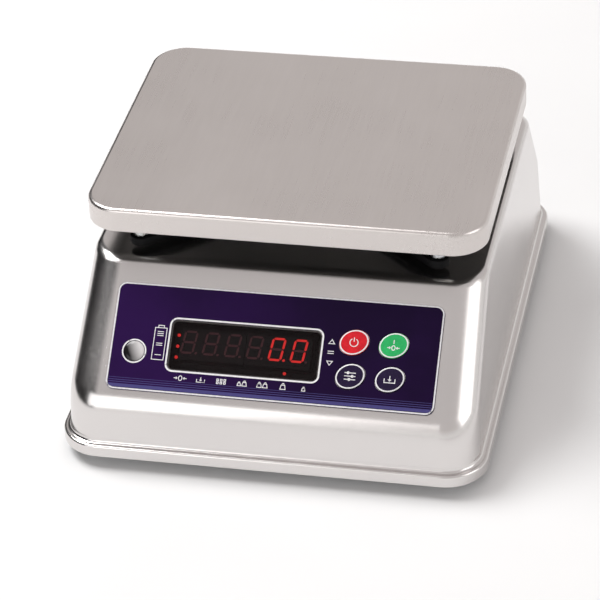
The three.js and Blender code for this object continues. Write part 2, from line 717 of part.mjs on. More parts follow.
// A threaded peg: a nut on the spider's arm, a thin neck, and a broad round head under the pan.
function panPeg() {
  const bottom = SPIDER_TOP + GAP;
  const top = bottom + PEG_HEIGHT;
  return turned(
    [
      [0, bottom],
      [PEG_NUT_RADIUS, bottom],
      [PEG_NUT_RADIUS, bottom + PEG_NUT_HEIGHT],
      [PEG_NECK_RADIUS, bottom + PEG_NUT_HEIGHT],
      [PEG_NECK_RADIUS, top - PEG_HEAD_HEIGHT],
      [PEG_RADIUS, top - PEG_HEAD_HEIGHT + PEG_HEAD_TAPER],
      [PEG_RADIUS, top - PEG_HEAD_CHAMFER],
      [PEG_RADIUS - PEG_HEAD_CHAMFER, top],
      [0, top],
    ],
    12,
  );
}

function pan() {
  const shell = (inset, bottom) => {
    const bend = PAN_BEND - inset;
    const at = (shift, z) =>
      level({
        side: PAN_WIDTH / 2 - shift,
        front: PAN_DEPTH / 2 - shift,
        rear: PAN_DEPTH / 2 - shift,
        corner: PAN_CORNER - shift,
        z,
      });
    const rounded = steps(3).map((t) => {
      const angle = (t * Math.PI) / 2;
      return at(PAN_BEND - bend * Math.cos(angle), PAN_TOP - PAN_BEND + bend * Math.sin(angle));
    });
    return loft([at(inset, bottom), ...rounded]);
  };
  const bottom = PAN_TOP - PAN_SKIRT;
  return cut(shell(0, bottom), shell(PAN_SHEET, bottom - 1)).translate([0, PAN_Y, 0]);
}

// A soft ring with one raised fold, clamped round the hole and just clear of the post.
function postSeal() {
  const low = TOP_HEIGHT + GAP;
  const high = low + SEAL_THICKNESS;
  const fold = (POST_RADIUS + POST_HOLE_RADIUS) / 2;
  return turned([
    [POST_RADIUS + GAP, low],
    [fold, low + SEAL_THICKNESS],
    [POST_HOLE_RADIUS - 1, low],
    [SEAL_RADIUS, low],
    [SEAL_RADIUS, high],
    [POST_HOLE_RADIUS - 1, high],
    [fold, high + SEAL_THICKNESS],
    [POST_RADIUS + GAP, high],
    [POST_RADIUS + GAP, low],
  ], 20).translate([0, PAN_Y, 0]);
}

function sealRing() {
  const low = TOP_HEIGHT + GAP + SEAL_THICKNESS + GAP;
  return cut(
    rod(SEAL_RADIUS, low, low + SEAL_RING_THICKNESS, 0, PAN_Y, 20),
    rod(POST_HOLE_RADIUS, low - 1, low + SEAL_RING_THICKNESS + 1, 0, PAN_Y, 20),
  );
}

// ---------------------------------------------------------------- front panel, in the panel's frame
const PANEL_BACK = GAP;
const PANEL_FACE = PANEL_BACK + PANEL_THICKNESS;
const OVAL_SEGMENTS = 9; // in half an oval hole

function panelOverlay() {
  const sheet = roundedRect(PANEL_WIDTH, PANEL_HEIGHT, PANEL_CORNER);
  const window = roundedRect(WINDOW_WIDTH, WINDOW_HEIGHT, WINDOW_CORNER, WINDOW_U, WINDOW_V);
  const long = KEY_LONG_RADIUS + GAP;
  const short = KEY_SHORT_RADIUS + GAP;
  const keyHoles = KEYS.map(({ u, v }) => ellipse(u, v, long, short, KEY_TURN));
  const levelHole = ellipse(LEVEL_U, LEVEL_V, LEVEL_RADIUS + GAP, LEVEL_RADIUS + GAP, 0);
  const through = (shape, curveSegments) => plate(shape, PANEL_BACK - 1, PANEL_FACE + 1, curveSegments);
  return cut(
    plate(sheet, PANEL_BACK, PANEL_FACE),
    through(window, 3),
    ...[...keyHoles, levelHole].map((hole) => through(hole, OVAL_SEGMENTS)),
  );
}

function displayWindow() {
  const outline = (inset) =>
    roundedRect(
      WINDOW_WIDTH - 2 * inset,
      WINDOW_HEIGHT - 2 * inset,
      WINDOW_CORNER - inset,
      WINDOW_U,
      WINDOW_V,
    );
  return join(
    plate(outline(GAP), PANEL_BACK, PANEL_FACE),
    plate(outline(WINDOW_BODY_INSET), -WINDOW_BODY_DEPTH, PANEL_BACK + PANEL_THICKNESS / 2),
  );
}

// A crowned oval cap on a round stem, made at the origin; its underside leaves room for the travel.
function key() {
  const under = PANEL_BACK + KEY_TRAVEL + KEY_REST;
  const shoulder = PANEL_FACE + KEY_RISE / 2;
  const crown = PANEL_FACE + KEY_RISE;
  const cap = turned([
    [0, under],
    [KEY_SHORT_RADIUS, under],
    [KEY_SHORT_RADIUS, shoulder],
    [KEY_SHORT_RADIUS - KEY_EDGE, shoulder + KEY_RISE * 0.25],
    [KEY_SHORT_RADIUS * 0.55, crown - KEY_RISE * 0.06],
    [0, crown],
  ]);
  const stretch = KEY_LONG_RADIUS / KEY_SHORT_RADIUS;
  const oval = cap.scale([stretch, 1, 1]).rotate([0, 0, THREE.MathUtils.radToDeg(KEY_TURN)]);
  const stemEnd = BOARD_FRONT_W + SWITCH_HEIGHT + PLUNGER_HEIGHT + GAP + KEY_TRAVEL + GAP;
  return join(oval, rod(KEY_STEM_RADIUS, stemEnd, shoulder, 0, 0, 10));
}

function keySwitch() {
  const low = BOARD_FRONT_W + GAP;
  const half = SWITCH_SIZE / 2;
  return join(
    block(-half, half, -half, half, low, low + SWITCH_HEIGHT),
    rod(PLUNGER_RADIUS, low + SWITCH_HEIGHT / 2, low + SWITCH_HEIGHT + PLUNGER_HEIGHT, 0, 0, 12),
  );
}

function digitModule(middle) {
  const half = (DIGIT_PITCH * DIGITS_PER_MODULE - GAP) / 2;
  const back = BOARD_FRONT_W + GAP;
  return block(
    middle - half,
    middle + half,
    MODULE_V - MODULE_HEIGHT / 2,
    MODULE_V + MODULE_HEIGHT / 2,
    back,
    back + MODULE_DEPTH - GAP,
  );
}

const displayBoard = () =>
  block(
    DISPLAY_BOARD_LEFT,
    DISPLAY_BOARD_RIGHT,
    DISPLAY_BOARD_LOW,
    DISPLAY_BOARD_HIGH,
    BOARD_FRONT_W - BOARD_THICKNESS,
    BOARD_FRONT_W,
  );

const levelWindow = () =>
  turned([
    [0, -SHEET - 1],
    [LEVEL_RADIUS, -SHEET - 1],
    [LEVEL_RADIUS, PANEL_FACE],
    [LEVEL_RADIUS * 0.8, PANEL_FACE + LEVEL_RISE * 0.5],
    [LEVEL_RADIUS * 0.45, PANEL_FACE + LEVEL_RISE * 0.85],
    [0, PANEL_FACE + LEVEL_RISE],
  ]);

// ---------------------------------------------------------------- boards, battery, socket
const boardBack = PAN_Y - CELL_WIDTH / 2 - CELL_TO_BOARD;
const boardRight = MAIN_BOARD_LEFT + MAIN_BOARD_LENGTH;

function mainBoardCorners() {
  const xs = [MAIN_BOARD_LEFT + PILLAR_INSET, boardRight - PILLAR_INSET];
  const ys = [boardBack - MAIN_BOARD_WIDTH + PILLAR_INSET, boardBack - PILLAR_INSET];
  return xs.flatMap((x) => ys.map((y) => [x, y]));
}

// The board with its tallest parts: a processor, a row of connectors and two capacitors.
function mainBoard() {
  const low = PLATE_TOP + MAIN_BOARD_HEIGHT;
  const high = low + BOARD_THICKNESS;
  const root = (low + high) / 2; // the parts start inside the board
  const x = (MAIN_BOARD_LEFT + boardRight) / 2;
  const y = boardBack - MAIN_BOARD_WIDTH / 2;
  const half = PROCESSOR_SIZE / 2;
  const reach = CONNECTOR_LENGTH / 2;
  const rowBack = boardBack - CONNECTOR_INSET;
  const capacitors = CAPACITOR_YS.map((offset) =>
    rod(CAPACITOR_RADIUS, root, high + CAPACITOR_HEIGHT, x + CAPACITOR_X, y + offset, 12),
  );
  return join(
    block(MAIN_BOARD_LEFT, boardRight, boardBack - MAIN_BOARD_WIDTH, boardBack, low, high),
    block(x - half, x + half, y - half, y + half, root, high + PROCESSOR_HEIGHT),
    block(x - reach, x + reach, rowBack - CONNECTOR_WIDTH, rowBack, root, high + CONNECTOR_HEIGHT),
    ...capacitors,
  );
}

const batteryFront = PAN_Y + CELL_WIDTH / 2 + CELL_TO_BATTERY;
const batteryTop = FLOOR + BATTERY_HEIGHT;

function battery() {
  const half = BATTERY_LENGTH / 2;
  const tabFront = batteryFront + TAB_FROM_FRONT;
  const tab = (x) =>
    block(
      x - TAB_WIDTH / 2,
      x + TAB_WIDTH / 2,
      tabFront,
      tabFront + TAB_THICKNESS,
      batteryTop - 1,
      batteryTop + TAB_HEIGHT,
    );
  return join(
    block(-half, half, batteryFront, batteryFront + BATTERY_WIDTH, FLOOR, batteryTop),
    tab(-half + TAB_FROM_END),
    tab(half - TAB_FROM_END),
  );
}

function batteryStrap() {
  const middle = batteryFront + BATTERY_WIDTH / 2;
  const front = middle - STRAP_WIDTH / 2;
  const back = middle + STRAP_WIDTH / 2;
  const inner = BATTERY_LENGTH / 2 + GAP;
  const outer = inner + STRAP_THICKNESS;
  const high = batteryTop + GAP + STRAP_THICKNESS;
  const leg = join(
    block(inner, outer, front, back, FLOOR, high),
    block(inner, outer + STRAP_FOOT, front, back, FLOOR, FLOOR + STRAP_THICKNESS),
  );
  const top = block(-outer, outer, front, back, batteryTop + GAP, high);
  return join(top, leg, leg.mirror([1, 0, 0]));
}

// A round jack: flange outside, barrel through the wall, and a blind bore round a centre pin.
const chargeSocket = () =>
  turned([
    [0, -SOCKET_DEPTH],
    [SOCKET_RADIUS, -SOCKET_DEPTH],
    [SOCKET_RADIUS, GAP],
    [SOCKET_FLANGE_RADIUS, GAP],
    [SOCKET_FLANGE_RADIUS, GAP + SOCKET_FLANGE],
    [SOCKET_BORE_RADIUS, GAP + SOCKET_FLANGE],
    [SOCKET_BORE_RADIUS, GAP + SOCKET_FLANGE - SOCKET_BORE_DEPTH],
    [SOCKET_PIN_RADIUS, GAP + SOCKET_FLANGE - SOCKET_BORE_DEPTH],
    [SOCKET_PIN_RADIUS, SOCKET_PIN_END],
    [0, SOCKET_PIN_END],
  ], 14);

// A soft cap whose hollow plug fills the jack's bore and goes round its pin.
const socketCap = () => {
  const low = GAP + SOCKET_FLANGE + GAP;
  const plugOuter = SOCKET_BORE_RADIUS - GAP;
  const plugInner = SOCKET_PIN_RADIUS + GAP;
  return turned([
    [0, low],
    [plugInner, low],
    [plugInner, low - CAP_PLUG_DEPTH],
    [plugOuter, low - CAP_PLUG_DEPTH],
    [plugOuter, low],
    [CAP_RADIUS, low],
    [CAP_RADIUS, low + CAP_THICKNESS - CAP_CHAMFER],
    [CAP_RADIUS - CAP_CHAMFER, low + CAP_THICKNESS],
    [0, low + CAP_THICKNESS],
  ], 14);
};

// ---------------------------------------------------------------- finishes
const finish = (color, roughness, metalness) =>
  new THREE.MeshStandardMaterial({ color, roughness, metalness });
const satinSteel = () => finish(0xb9b3b0, 0.32, 1);
const plainSteel = () => finish(0xa9a9ab, 0.4, 1);
const zincSteel = () => finish(0xc4c4c0, 0.35, 1);
const aluminium = () => finish(0xc9cacc, 0.45, 1);
const blackCasting = () => finish(0x1c1c1e, 0.6, 0.2);
const blackRubber = () => finish(0x141414, 0.85, 0);
const greyRubber = () => finish(0x8d8d8a, 0.8, 0);
const smokedLens = () => finish(0x160308, 0.1, 0);
const clearLens = () => finish(0xd5dadd, 0.08, 0);
const indigoFilm = () => finish(0x241648, 0.35, 0);
const circuitBoard = () => finish(0x1d5a34, 0.5, 0);
const blackPlastic = () => finish(0x18181a, 0.5, 0);
const redPlastic = () => finish(0x5a0a0c, 0.3, 0);

// ---------------------------------------------------------------- assembly
const scale = new THREE.Group();
scale.add(panel, socketPlace);

function add(name, shape, material, parent = scale) {
  const { vertProperties, triVerts } = shape.getMesh();
  const geometry = new THREE.BufferGeometry();
  geometry.setAttribute("position", new THREE.BufferAttribute(vertProperties, 3));
  geometry.setIndex(new THREE.BufferAttribute(triVerts, 1));
  geometry.computeVertexNormals();
  const mesh = new THREE.Mesh(geometry, material);
  mesh.name = name;
  parent.add(mesh);
  return mesh;
}

add("housing", housing(), satinSteel());
add("base_plate", basePlate(), plainSteel());
add("base_gasket", baseGasket(), blackRubber());
screwPoints.forEach(([x, y], i) => {
  const length = FLOOR + LUG_RISE / 2 - PLATE_BOTTOM;
  const made = screw(BASE_SCREW_RADIUS, BASE_SCREW_HEAD_RADIUS, BASE_SCREW_HEAD_HEIGHT, length);
  add(`base_screw_${i + 1}`, made, zincSteel()).position.set(x, y, PLATE_BOTTOM - GAP);
});

for (const { name, x, y } of feet()) {
  add(`foot_pad_${name}`, footPad(), blackRubber()).position.set(x, y, 0);
  add(`foot_stud_${name}`, footStud(), zincSteel()).position.set(x, y, 0);
  add(`foot_nut_${name}`, footNut(), zincSteel()).position.set(x, y, 0);
}

const endInner = CELL_LENGTH / 2 - CELL_END;
const endOuter = CELL_LENGTH / 2;
add("load_cell", loadCell(), aluminium());
add("cell_base_block", cellBlock(-1, -endOuter, -endInner, FLOOR, FLOOR + CELL_BLOCK_HEIGHT), aluminium());
add("cell_spacer", cellBlock(1, endInner, endOuter, CELL_TOP + GAP, BRACKET_BOTTOM - GAP), aluminium());
add("cell_bracket", cellBlock(1, -BRACKET_OVERHANG, endOuter, BRACKET_BOTTOM, BRACKET_TOP), plainSteel());
const cellScrew = (length) =>
  screw(CELL_SCREW_RADIUS, CELL_SCREW_HEAD_RADIUS, CELL_SCREW_HEAD_HEIGHT, length);
CELL_SCREW_XS.forEach((x, i) => {
  const lower = CELL_BOTTOM + CELL_SCREW_GRIP - (PLATE_BOTTOM - GAP);
  const upper = BRACKET_TOP + GAP - (CELL_TOP - CELL_SCREW_GRIP);
  add(`cell_lower_screw_${i + 1}`, cellScrew(lower), zincSteel()).position.set(-x, PAN_Y, PLATE_BOTTOM - GAP);
  const turnedOver = add(`cell_upper_screw_${i + 1}`, cellScrew(upper), zincSteel());
  turnedOver.position.set(x, PAN_Y, BRACKET_TOP + GAP);
  turnedOver.rotation.x = Math.PI;
});
add("overload_stop", overloadStop(), zincSteel());

add("post", post(), aluminium());
add("post_seal", postSeal(), blackRubber());
add("seal_ring", sealRing(), plainSteel());
add("pan_spider", spider(), blackCasting());
const spiderScrewShape = screw(
  CELL_SCREW_RADIUS,
  SPIDER_SCREW_HEAD_RADIUS,
  SPIDER_SCREW_HEAD_HEIGHT,
  SPIDER_SCREW_LENGTH,
);
const spiderScrew = add("spider_screw", spiderScrewShape, zincSteel());
spiderScrew.position.set(0, PAN_Y, SPIDER_TOP + GAP);
spiderScrew.rotation.x = Math.PI;
for (const { name, x, y } of pegPlaces()) {
  add(`pan_peg_${name}`, panPeg(), zincSteel()).position.set(x, y, 0);
}
add("pan", pan(), satinSteel());

add("panel_overlay", panelOverlay(), indigoFilm(), panel);
add("display_window", displayWindow(), smokedLens(), panel);
add("display_board", displayBoard(), circuitBoard(), panel);
const moduleReach = (DIGIT_PITCH * DIGITS_PER_MODULE) / 2;
add("digit_module_left", digitModule(MODULE_U - moduleReach), redPlastic(), panel);
add("digit_module_right", digitModule(MODULE_U + moduleReach), redPlastic(), panel);
for (const { name, u, v, colour } of KEYS) {
  add(`key_${name}`, key(), finish(colour, 0.3, 0), panel).position.set(u, v, 0);
  add(`switch_${name}`, keySwitch(), blackPlastic(), panel).position.set(u, v, 0);
}
add("level_window", levelWindow(), clearLens(), panel).position.set(LEVEL_U, LEVEL_V, 0);
const vial = rod(VIAL_RADIUS, vialCentre.z - VIAL_HEIGHT / 2, vialCentre.z + VIAL_HEIGHT / 2, 0, 0, 18);
add("level_vial", vial, clearLens()).position.set(vialCentre.x, vialCentre.y, 0);

add("main_board", mainBoard(), circuitBoard());
add("battery", battery(), blackPlastic());
add("battery_strap", batteryStrap(), plainSteel());
add("charge_socket", chargeSocket(), blackPlastic(), socketPlace);
add("socket_cap", socketCap(), greyRubber(), socketPlace);

export default scale;
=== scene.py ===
"""The looks of a bench scale, laid out as an add-on: one operator for each piece or group of like pieces.

Lengths in the code are metres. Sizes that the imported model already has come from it.
Panel coordinates: u to the right, v up the slope, w straight out of it, from the panel's middle.
"""

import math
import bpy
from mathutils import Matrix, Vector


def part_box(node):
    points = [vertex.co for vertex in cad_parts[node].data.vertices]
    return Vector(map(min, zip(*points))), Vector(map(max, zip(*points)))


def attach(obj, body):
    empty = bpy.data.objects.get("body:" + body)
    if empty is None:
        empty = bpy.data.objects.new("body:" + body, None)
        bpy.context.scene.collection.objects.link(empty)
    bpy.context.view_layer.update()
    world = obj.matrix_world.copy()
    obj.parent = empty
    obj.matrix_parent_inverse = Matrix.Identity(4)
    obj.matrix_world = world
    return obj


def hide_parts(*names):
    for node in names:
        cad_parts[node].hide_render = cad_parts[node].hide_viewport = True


bl_info = {
    "name": "Bench Scale",
    "version": (1, 0, 0),
    "blender": (4, 5, 0),
    "location": "View3D > Sidebar > Bench Scale",
    "description": "Builds the shells, panel, keys and finishes of a stainless bench scale",
    "category": "Add Mesh",
}

import bmesh
import bpy
from bpy.props import FloatProperty, FloatVectorProperty, PointerProperty
from mathutils import Matrix, Vector

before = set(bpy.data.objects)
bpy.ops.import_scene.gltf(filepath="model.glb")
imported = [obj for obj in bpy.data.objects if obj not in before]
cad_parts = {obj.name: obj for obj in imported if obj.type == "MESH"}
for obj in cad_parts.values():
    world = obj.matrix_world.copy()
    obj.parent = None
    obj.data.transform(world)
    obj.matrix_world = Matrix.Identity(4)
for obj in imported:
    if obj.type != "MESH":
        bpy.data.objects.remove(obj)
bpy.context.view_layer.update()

MM = 0.001
GAP = 0.3 * MM  # left between pieces that touch
SHARP_ANGLE = math.radians(32)
CORNERS = ("front_left", "front_right", "rear_left", "rear_right")


def node_middle(node):
    low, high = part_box(node)
    return (low + high) / 2


def node_radius(node):
    low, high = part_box(node)
    return (high.x - low.x) / 2


def standing_at(node):
    """The matrix that sets an upright piece under the node's middle, its foot at the node's."""
    middle = node_middle(node)
    return Matrix.Translation((middle.x, middle.y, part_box(node)[0].z))


# ---------------------------------------------------------------- sizes and colours
def length(name, description, default_mm, high_mm=400.0):
    return FloatProperty(
        name=name,
        description=description,
        default=default_mm * MM,
        min=0.0,
        max=high_mm * MM,
        unit="LENGTH",
        precision=4,
    )


def angle(name, description, default):
    return FloatProperty(name=name, description=description, default=math.radians(default), unit="ROTATION")


def colour(name, description, default):
    return FloatVectorProperty(
        name=name, description=description, default=default, size=3, min=0.0, max=1.0, subtype="COLOR"
    )


class BenchScaleHousing(bpy.types.PropertyGroup):
    corner: length("Corner", "Radius of the upright corners at the rim", 24)
    sheet: length("Sheet", "Thickness of the housing's sheet", 1.2)
    rim_height: length("Rim height", "Height of the upright rim", 7)
    rim_edge: length("Rim edge", "Radius along the top of the rim", 1.5)
    ledge: length("Ledge", "From the rim in to the foot of the walls", 4.2)
    cove: length("Cove", "Radius between the ledge and the walls", 2)
    side_lean: angle("Side lean", "Lean of the side walls from upright", 3.1)
    side_bend: length("Side bend", "Bend between a side wall and the top plate", 4)
    apron_lean: angle("Apron lean", "Lean of the front and rear aprons from upright", 2)
    panel_tilt: angle("Panel tilt", "Tilt of the front slope from level", 40.6)
    front_inset: length("Front inset", "From the front of the rim to the top plate", 72.1)
    front_low_bend: length("Front low bend", "Bend between the apron and the slope", 20)
    front_top_bend: length("Front top bend", "Bend between the slope and the top plate", 12)
    rear_tilt: angle("Rear tilt", "Tilt of the rear slope from level", 59.5)
    rear_inset: length("Rear inset", "From the rear of the rim to the top plate", 31.1)
    rear_low_bend: length("Rear low bend", "Bend between the rear apron and its slope", 12)
    rear_top_bend: length("Rear top bend", "Bend between the rear slope and the top plate", 8)
    post_hole: length("Post hole", "Radius of the hole that the post comes through", 22)


class BenchScalePan(bpy.types.PropertyGroup):
    corner: length("Corner", "Radius of the pan's corners", 20.5)
    sheet: length("Sheet", "Thickness of the pan's sheet", 1)
    bend: length("Bend", "Bend between the top and the skirt", 2.5)


class BenchScalePanel(bpy.types.PropertyGroup):
    width: length("Width", "Width of the printed panel", 188)
    height: length("Height", "Height of the printed panel, up the slope", 62.7)
    corner: length("Corner", "Radius of the panel's corners", 5)
    from_top: length("From the top", "Down the slope from the top plate to the panel", 15.4)
    thickness: length("Thickness", "Thickness of the panel", 0.8)
    window_width: length("Window width", "Width of the display window", 86.8)
    window_height: length("Window height", "Height of the display window", 29.7)
    window_corner: length("Window corner", "Radius of the window's corners", 3.5)
    key_long: length("Key length", "Longer radius of a key", 8.6)
    key_short: length("Key width", "Shorter radius of a key", 7.1)
    key_turn: angle("Key turn", "Turn of the keys' longer axis", 23.6)
    key_rise: length("Key rise", "Crown of a key above the panel", 0.9)
    level_radius: length("Level radius", "Radius of the level's window", 5.9)
    digit_height: length("Digit height", "Height of a digit", 13.6)
    digit_slant: angle("Digit slant", "Slant of the digits", 8)


class BenchScaleFinish(bpy.types.PropertyGroup):
    housing_steel: colour("Housing steel", "Satin stainless of the housing", (0.69, 0.665, 0.655))
    pan_steel: colour("Pan steel", "Brushed stainless of the pan", (0.66, 0.62, 0.60))
    overlay: colour("Panel", "Indigo film of the panel", (0.014, 0.0028, 0.037))
    stripe: colour("Stripe", "Blue lines along the panel's foot", (0.034, 0.026, 0.16))
    print_white: colour("Print", "White ink of the marks", (0.80, 0.79, 0.80))
    red_key: colour("Red key", "Colour of the off key", (0.62, 0.012, 0.022))
    green_key: colour("Green key", "Colour of the on key", (0.025, 0.42, 0.12))
    indigo_key: colour("Indigo key", "Colour of the set and tare keys", (0.012, 0.004, 0.032))
    lit: colour("Lit digit", "Colour of a lit segment", (1.0, 0.035, 0.03))


class BenchScaleStage(bpy.types.PropertyGroup):
    azimuth: angle("Azimuth", "The camera's place round the scale, from the front to the right", 13.17)
    elevation: angle("Elevation", "The camera's height above level", 33.96)
    roll: angle("Roll", "Turn of the camera about its own axis", -2.94)
    distance: length("Distance", "From the camera to the point it looks at", 1700, 9000)
    lens: FloatProperty(name="Lens", description="Focal length in mm", default=175.1, min=1, unit="CAMERA")
    floor_size: length("Floor", "Width of the floor", 14000, 40000)


# ---------------------------------------------------------------- making meshes
def new_object(name, mesh):
    piece = bpy.data.objects.new(name, mesh)
    bpy.context.scene.collection.objects.link(piece)
    return piece


def mesh_of(name, vertices, faces):
    mesh = bpy.data.meshes.new(name)
    mesh.from_pydata([tuple(v) for v in vertices], [], faces)
    mesh.validate()
    return mesh


def smooth(mesh, sharp):
    mesh.polygons.foreach_set("use_smooth", [True] * len(mesh.polygons))
    mesh.set_sharp_from_angle(angle=sharp)
    mesh.update()


def face_outwards(mesh):
    work = bmesh.new()
    work.from_mesh(mesh)
    bmesh.ops.remove_doubles(work, verts=work.verts, dist=1e-7)
    bmesh.ops.recalc_face_normals(work, faces=work.faces)
    work.to_mesh(mesh)
    work.free()


def baked(piece):
    """The piece with its modifiers applied to its mesh."""
    graph = bpy.context.evaluated_depsgraph_get()
    mesh = bpy.data.meshes.new_from_object(piece.evaluated_get(graph))
    piece.modifiers.clear()
    piece.data = mesh
    return piece


def carved(piece, cutters):
    """The piece with each cutter taken out of it."""
    for cutter in cutters:
        hole = piece.modifiers.new(cutter.name, "BOOLEAN")
        hole.operation = "DIFFERENCE"
        hole.solver = "EXACT"
        hole.object = cutter
    baked(piece)
    for cutter in cutters:
        bpy.data.objects.remove(cutter)
    return piece


def placed(piece, body, material, nodes=(), sharp=SHARP_ANGLE):
    """Gives a new piece its finish and its body, and hides the nodes that it stands for."""
    if not piece.data.materials:
        piece.data.materials.append(material)
    smooth(piece.data, sharp)
    even = piece.modifiers.new("Even shading", "WEIGHTED_NORMAL")
    even.keep_sharp = True
    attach(piece, body)
    if nodes:
        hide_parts(*nodes)
    return piece


def ring(side, front, rear, corner, z, steps, y=0.0):
    """One level of a drawn shell: a rectangle with round corners, anticlockwise."""
    centres = (
        (side - corner, rear - corner),
        (corner - side, rear - corner),
        (corner - side, corner - front),
        (side - corner, corner - front),
    )
    points = []
    for quarter, (cx, cy) in enumerate(centres):
        for step in range(steps + 1):
            turn = (quarter + step / steps) * math.pi / 2
            points.append((cx + corner * math.cos(turn), y + cy + corner * math.sin(turn), z))
    return points


def even_ring(half_width, half_depth, corner, shift, z, steps, y=0.0):
    """A ring as deep in front as behind, brought in by shift all round."""
    return ring(half_width - shift, half_depth - shift, half_depth - shift, corner - shift, z, steps, y)


def oval(u, v, long, short, turn=0.0, steps=48, w=0.0):
    """Points round an ellipse in a plane at height w."""
    points = []
    for step in range(steps):
        around = step / steps * 2 * math.pi
        x, y = long * math.cos(around), short * math.sin(around)
        points.append(
            (u + x * math.cos(turn) - y * math.sin(turn), v + x * math.sin(turn) + y * math.cos(turn), w)
        )
    return points


def turn_steps(count, whole=math.pi / 2):
    """Even steps from nothing to a whole turn, both ends included."""
    return [step / count * whole for step in range(count + 1)]


def skinned(name, rings):
    """A closed mesh through rings of equal count, with a face over the first and the last."""
    count = len(rings[0])
    vertices = [point for level in rings for point in level]
    faces = [tuple(range(count)), tuple(range(len(vertices) - count, len(vertices)))]
    for k in range(len(rings) - 1):
        for i in range(count):
            after = (i + 1) % count
            faces.append((k * count + i, k * count + after, (k + 1) * count + after, (k + 1) * count + i))
    mesh = mesh_of(name, vertices, faces)
    face_outwards(mesh)
    return new_object(name, mesh)


def softened(section, radius, steps=4):
    """A section's points with each inner corner rounded by about radius."""
    points = [section[0]]
    for before, corner, after in zip(section, section[1:], section[2:]):
        p, q, r = Vector(before), Vector(corner), Vector(after)
        cut = min(radius, (p - q).length * 0.45, (r - q).length * 0.45)
        start, end = q + (p - q).normalized() * cut, q + (r - q).normalized() * cut
        for step in range(steps + 1):
            t = step / steps
            points.append(tuple(start * (1 - t) ** 2 + q * 2 * t * (1 - t) + end * t * t))
    points.append(section[-1])
    return points


def turned(name, section, place, radius=0.4 * MM, sides=48):
    """A turned piece from (radius, height) points that start and end on its axis."""
    rings = []
    for out, height in softened(section, radius):
        rings.append(oval(0, 0, max(out, 1e-6), max(out, 1e-6), steps=sides, w=height))
    piece = skinned(name, rings)
    piece.data.transform(place)
    return piece


def turned_ring(name, section, place, sides=64):
    """A turned ring from (radius, height) points that go right round its section."""
    count = len(section)
    vertices = [point for out, height in section for point in oval(0, 0, out, out, steps=sides, w=height)]
    faces = []
    for k in range(count):
        after_k = (k + 1) % count
        for i in range(sides):
            after = (i + 1) % sides
            faces.append((k * sides + i, k * sides + after, after_k * sides + after, after_k * sides + i))
    mesh = mesh_of(name, vertices, faces)
    face_outwards(mesh)
    mesh.transform(place)
    return new_object(name, mesh)


def sheet(name, outlines, low, high, edge):
    """A flat sheet in the XY plane, its first outline outside and the rest holes, with softened edges."""
    curve = bpy.data.curves.new(name, "CURVE")
    curve.dimensions = "2D"
    curve.fill_mode = "BOTH"
    curve.extrude = (high - low) / 2 - edge
    curve.bevel_depth = edge
    curve.bevel_resolution = 2
    curve.offset = -edge
    for outline in outlines:
        spline = curve.splines.new("POLY")
        spline.points.add(len(outline) - 1)
        for point, (x, y, _) in zip(spline.points, outline):
            point.co = (x, y, 0, 1)
        spline.use_cyclic_u = True
    drawn = new_object(name + "_outline", curve)
    graph = bpy.context.evaluated_depsgraph_get()
    mesh = bpy.data.meshes.new_from_object(drawn.evaluated_get(graph))
    bpy.data.objects.remove(drawn)
    mesh.transform(Matrix.Translation((0, 0, (low + high) / 2)))
    mesh.name = name
    face_outwards(mesh)
    return new_object(name, mesh)


def stroke(points, width, closed=False):
    """A flat line of the given width along points, as four-cornered faces."""
    count = len(points)
    sides = []
    for i in range(count):
        here = Vector(points[i][:2])
        before = Vector(points[i - 1][:2]) if closed or i else here
        after = Vector(points[(i + 1) % count][:2]) if closed or i + 1 < count else here
        into, out = (here - before).normalized(), (after - here).normalized()
        along = (into + out).normalized()
        across = Vector((-along.y, along.x))
        leg = out if out.length else into
        lean = max(0.5, abs(across.dot(Vector((-leg.y, leg.x)))))
        shift = across * (width / 2 / lean)
        sides.append((here + shift, here - shift))
    runs = range(count if closed else count - 1)
    return [(sides[i][0], sides[i][1], sides[(i + 1) % count][1], sides[(i + 1) % count][0]) for i in runs]


def printed(name, flats, height, lift):
    """Flat faces, each a list of (u, v) corners, as thin raised print. The surface under it comes from lift."""
    work = bmesh.new()
    for flat in flats:
        top = [work.verts.new((u, v, lift(u, v) + height)) for u, v in flat]
        foot = [work.verts.new((u, v, lift(u, v) - height)) for u, v in flat]
        work.faces.new(top)
        work.faces.new(foot[::-1])
        for i in range(len(flat)):
            after = (i + 1) % len(flat)
            work.faces.new((top[i], foot[i], foot[after], top[after]))
    bmesh.ops.remove_doubles(work, verts=work.verts, dist=1e-6)
    bmesh.ops.recalc_face_normals(work, faces=work.faces)
    mesh = bpy.data.meshes.new(name)
    work.to_mesh(mesh)
    work.free()
    return new_object(name, mesh)


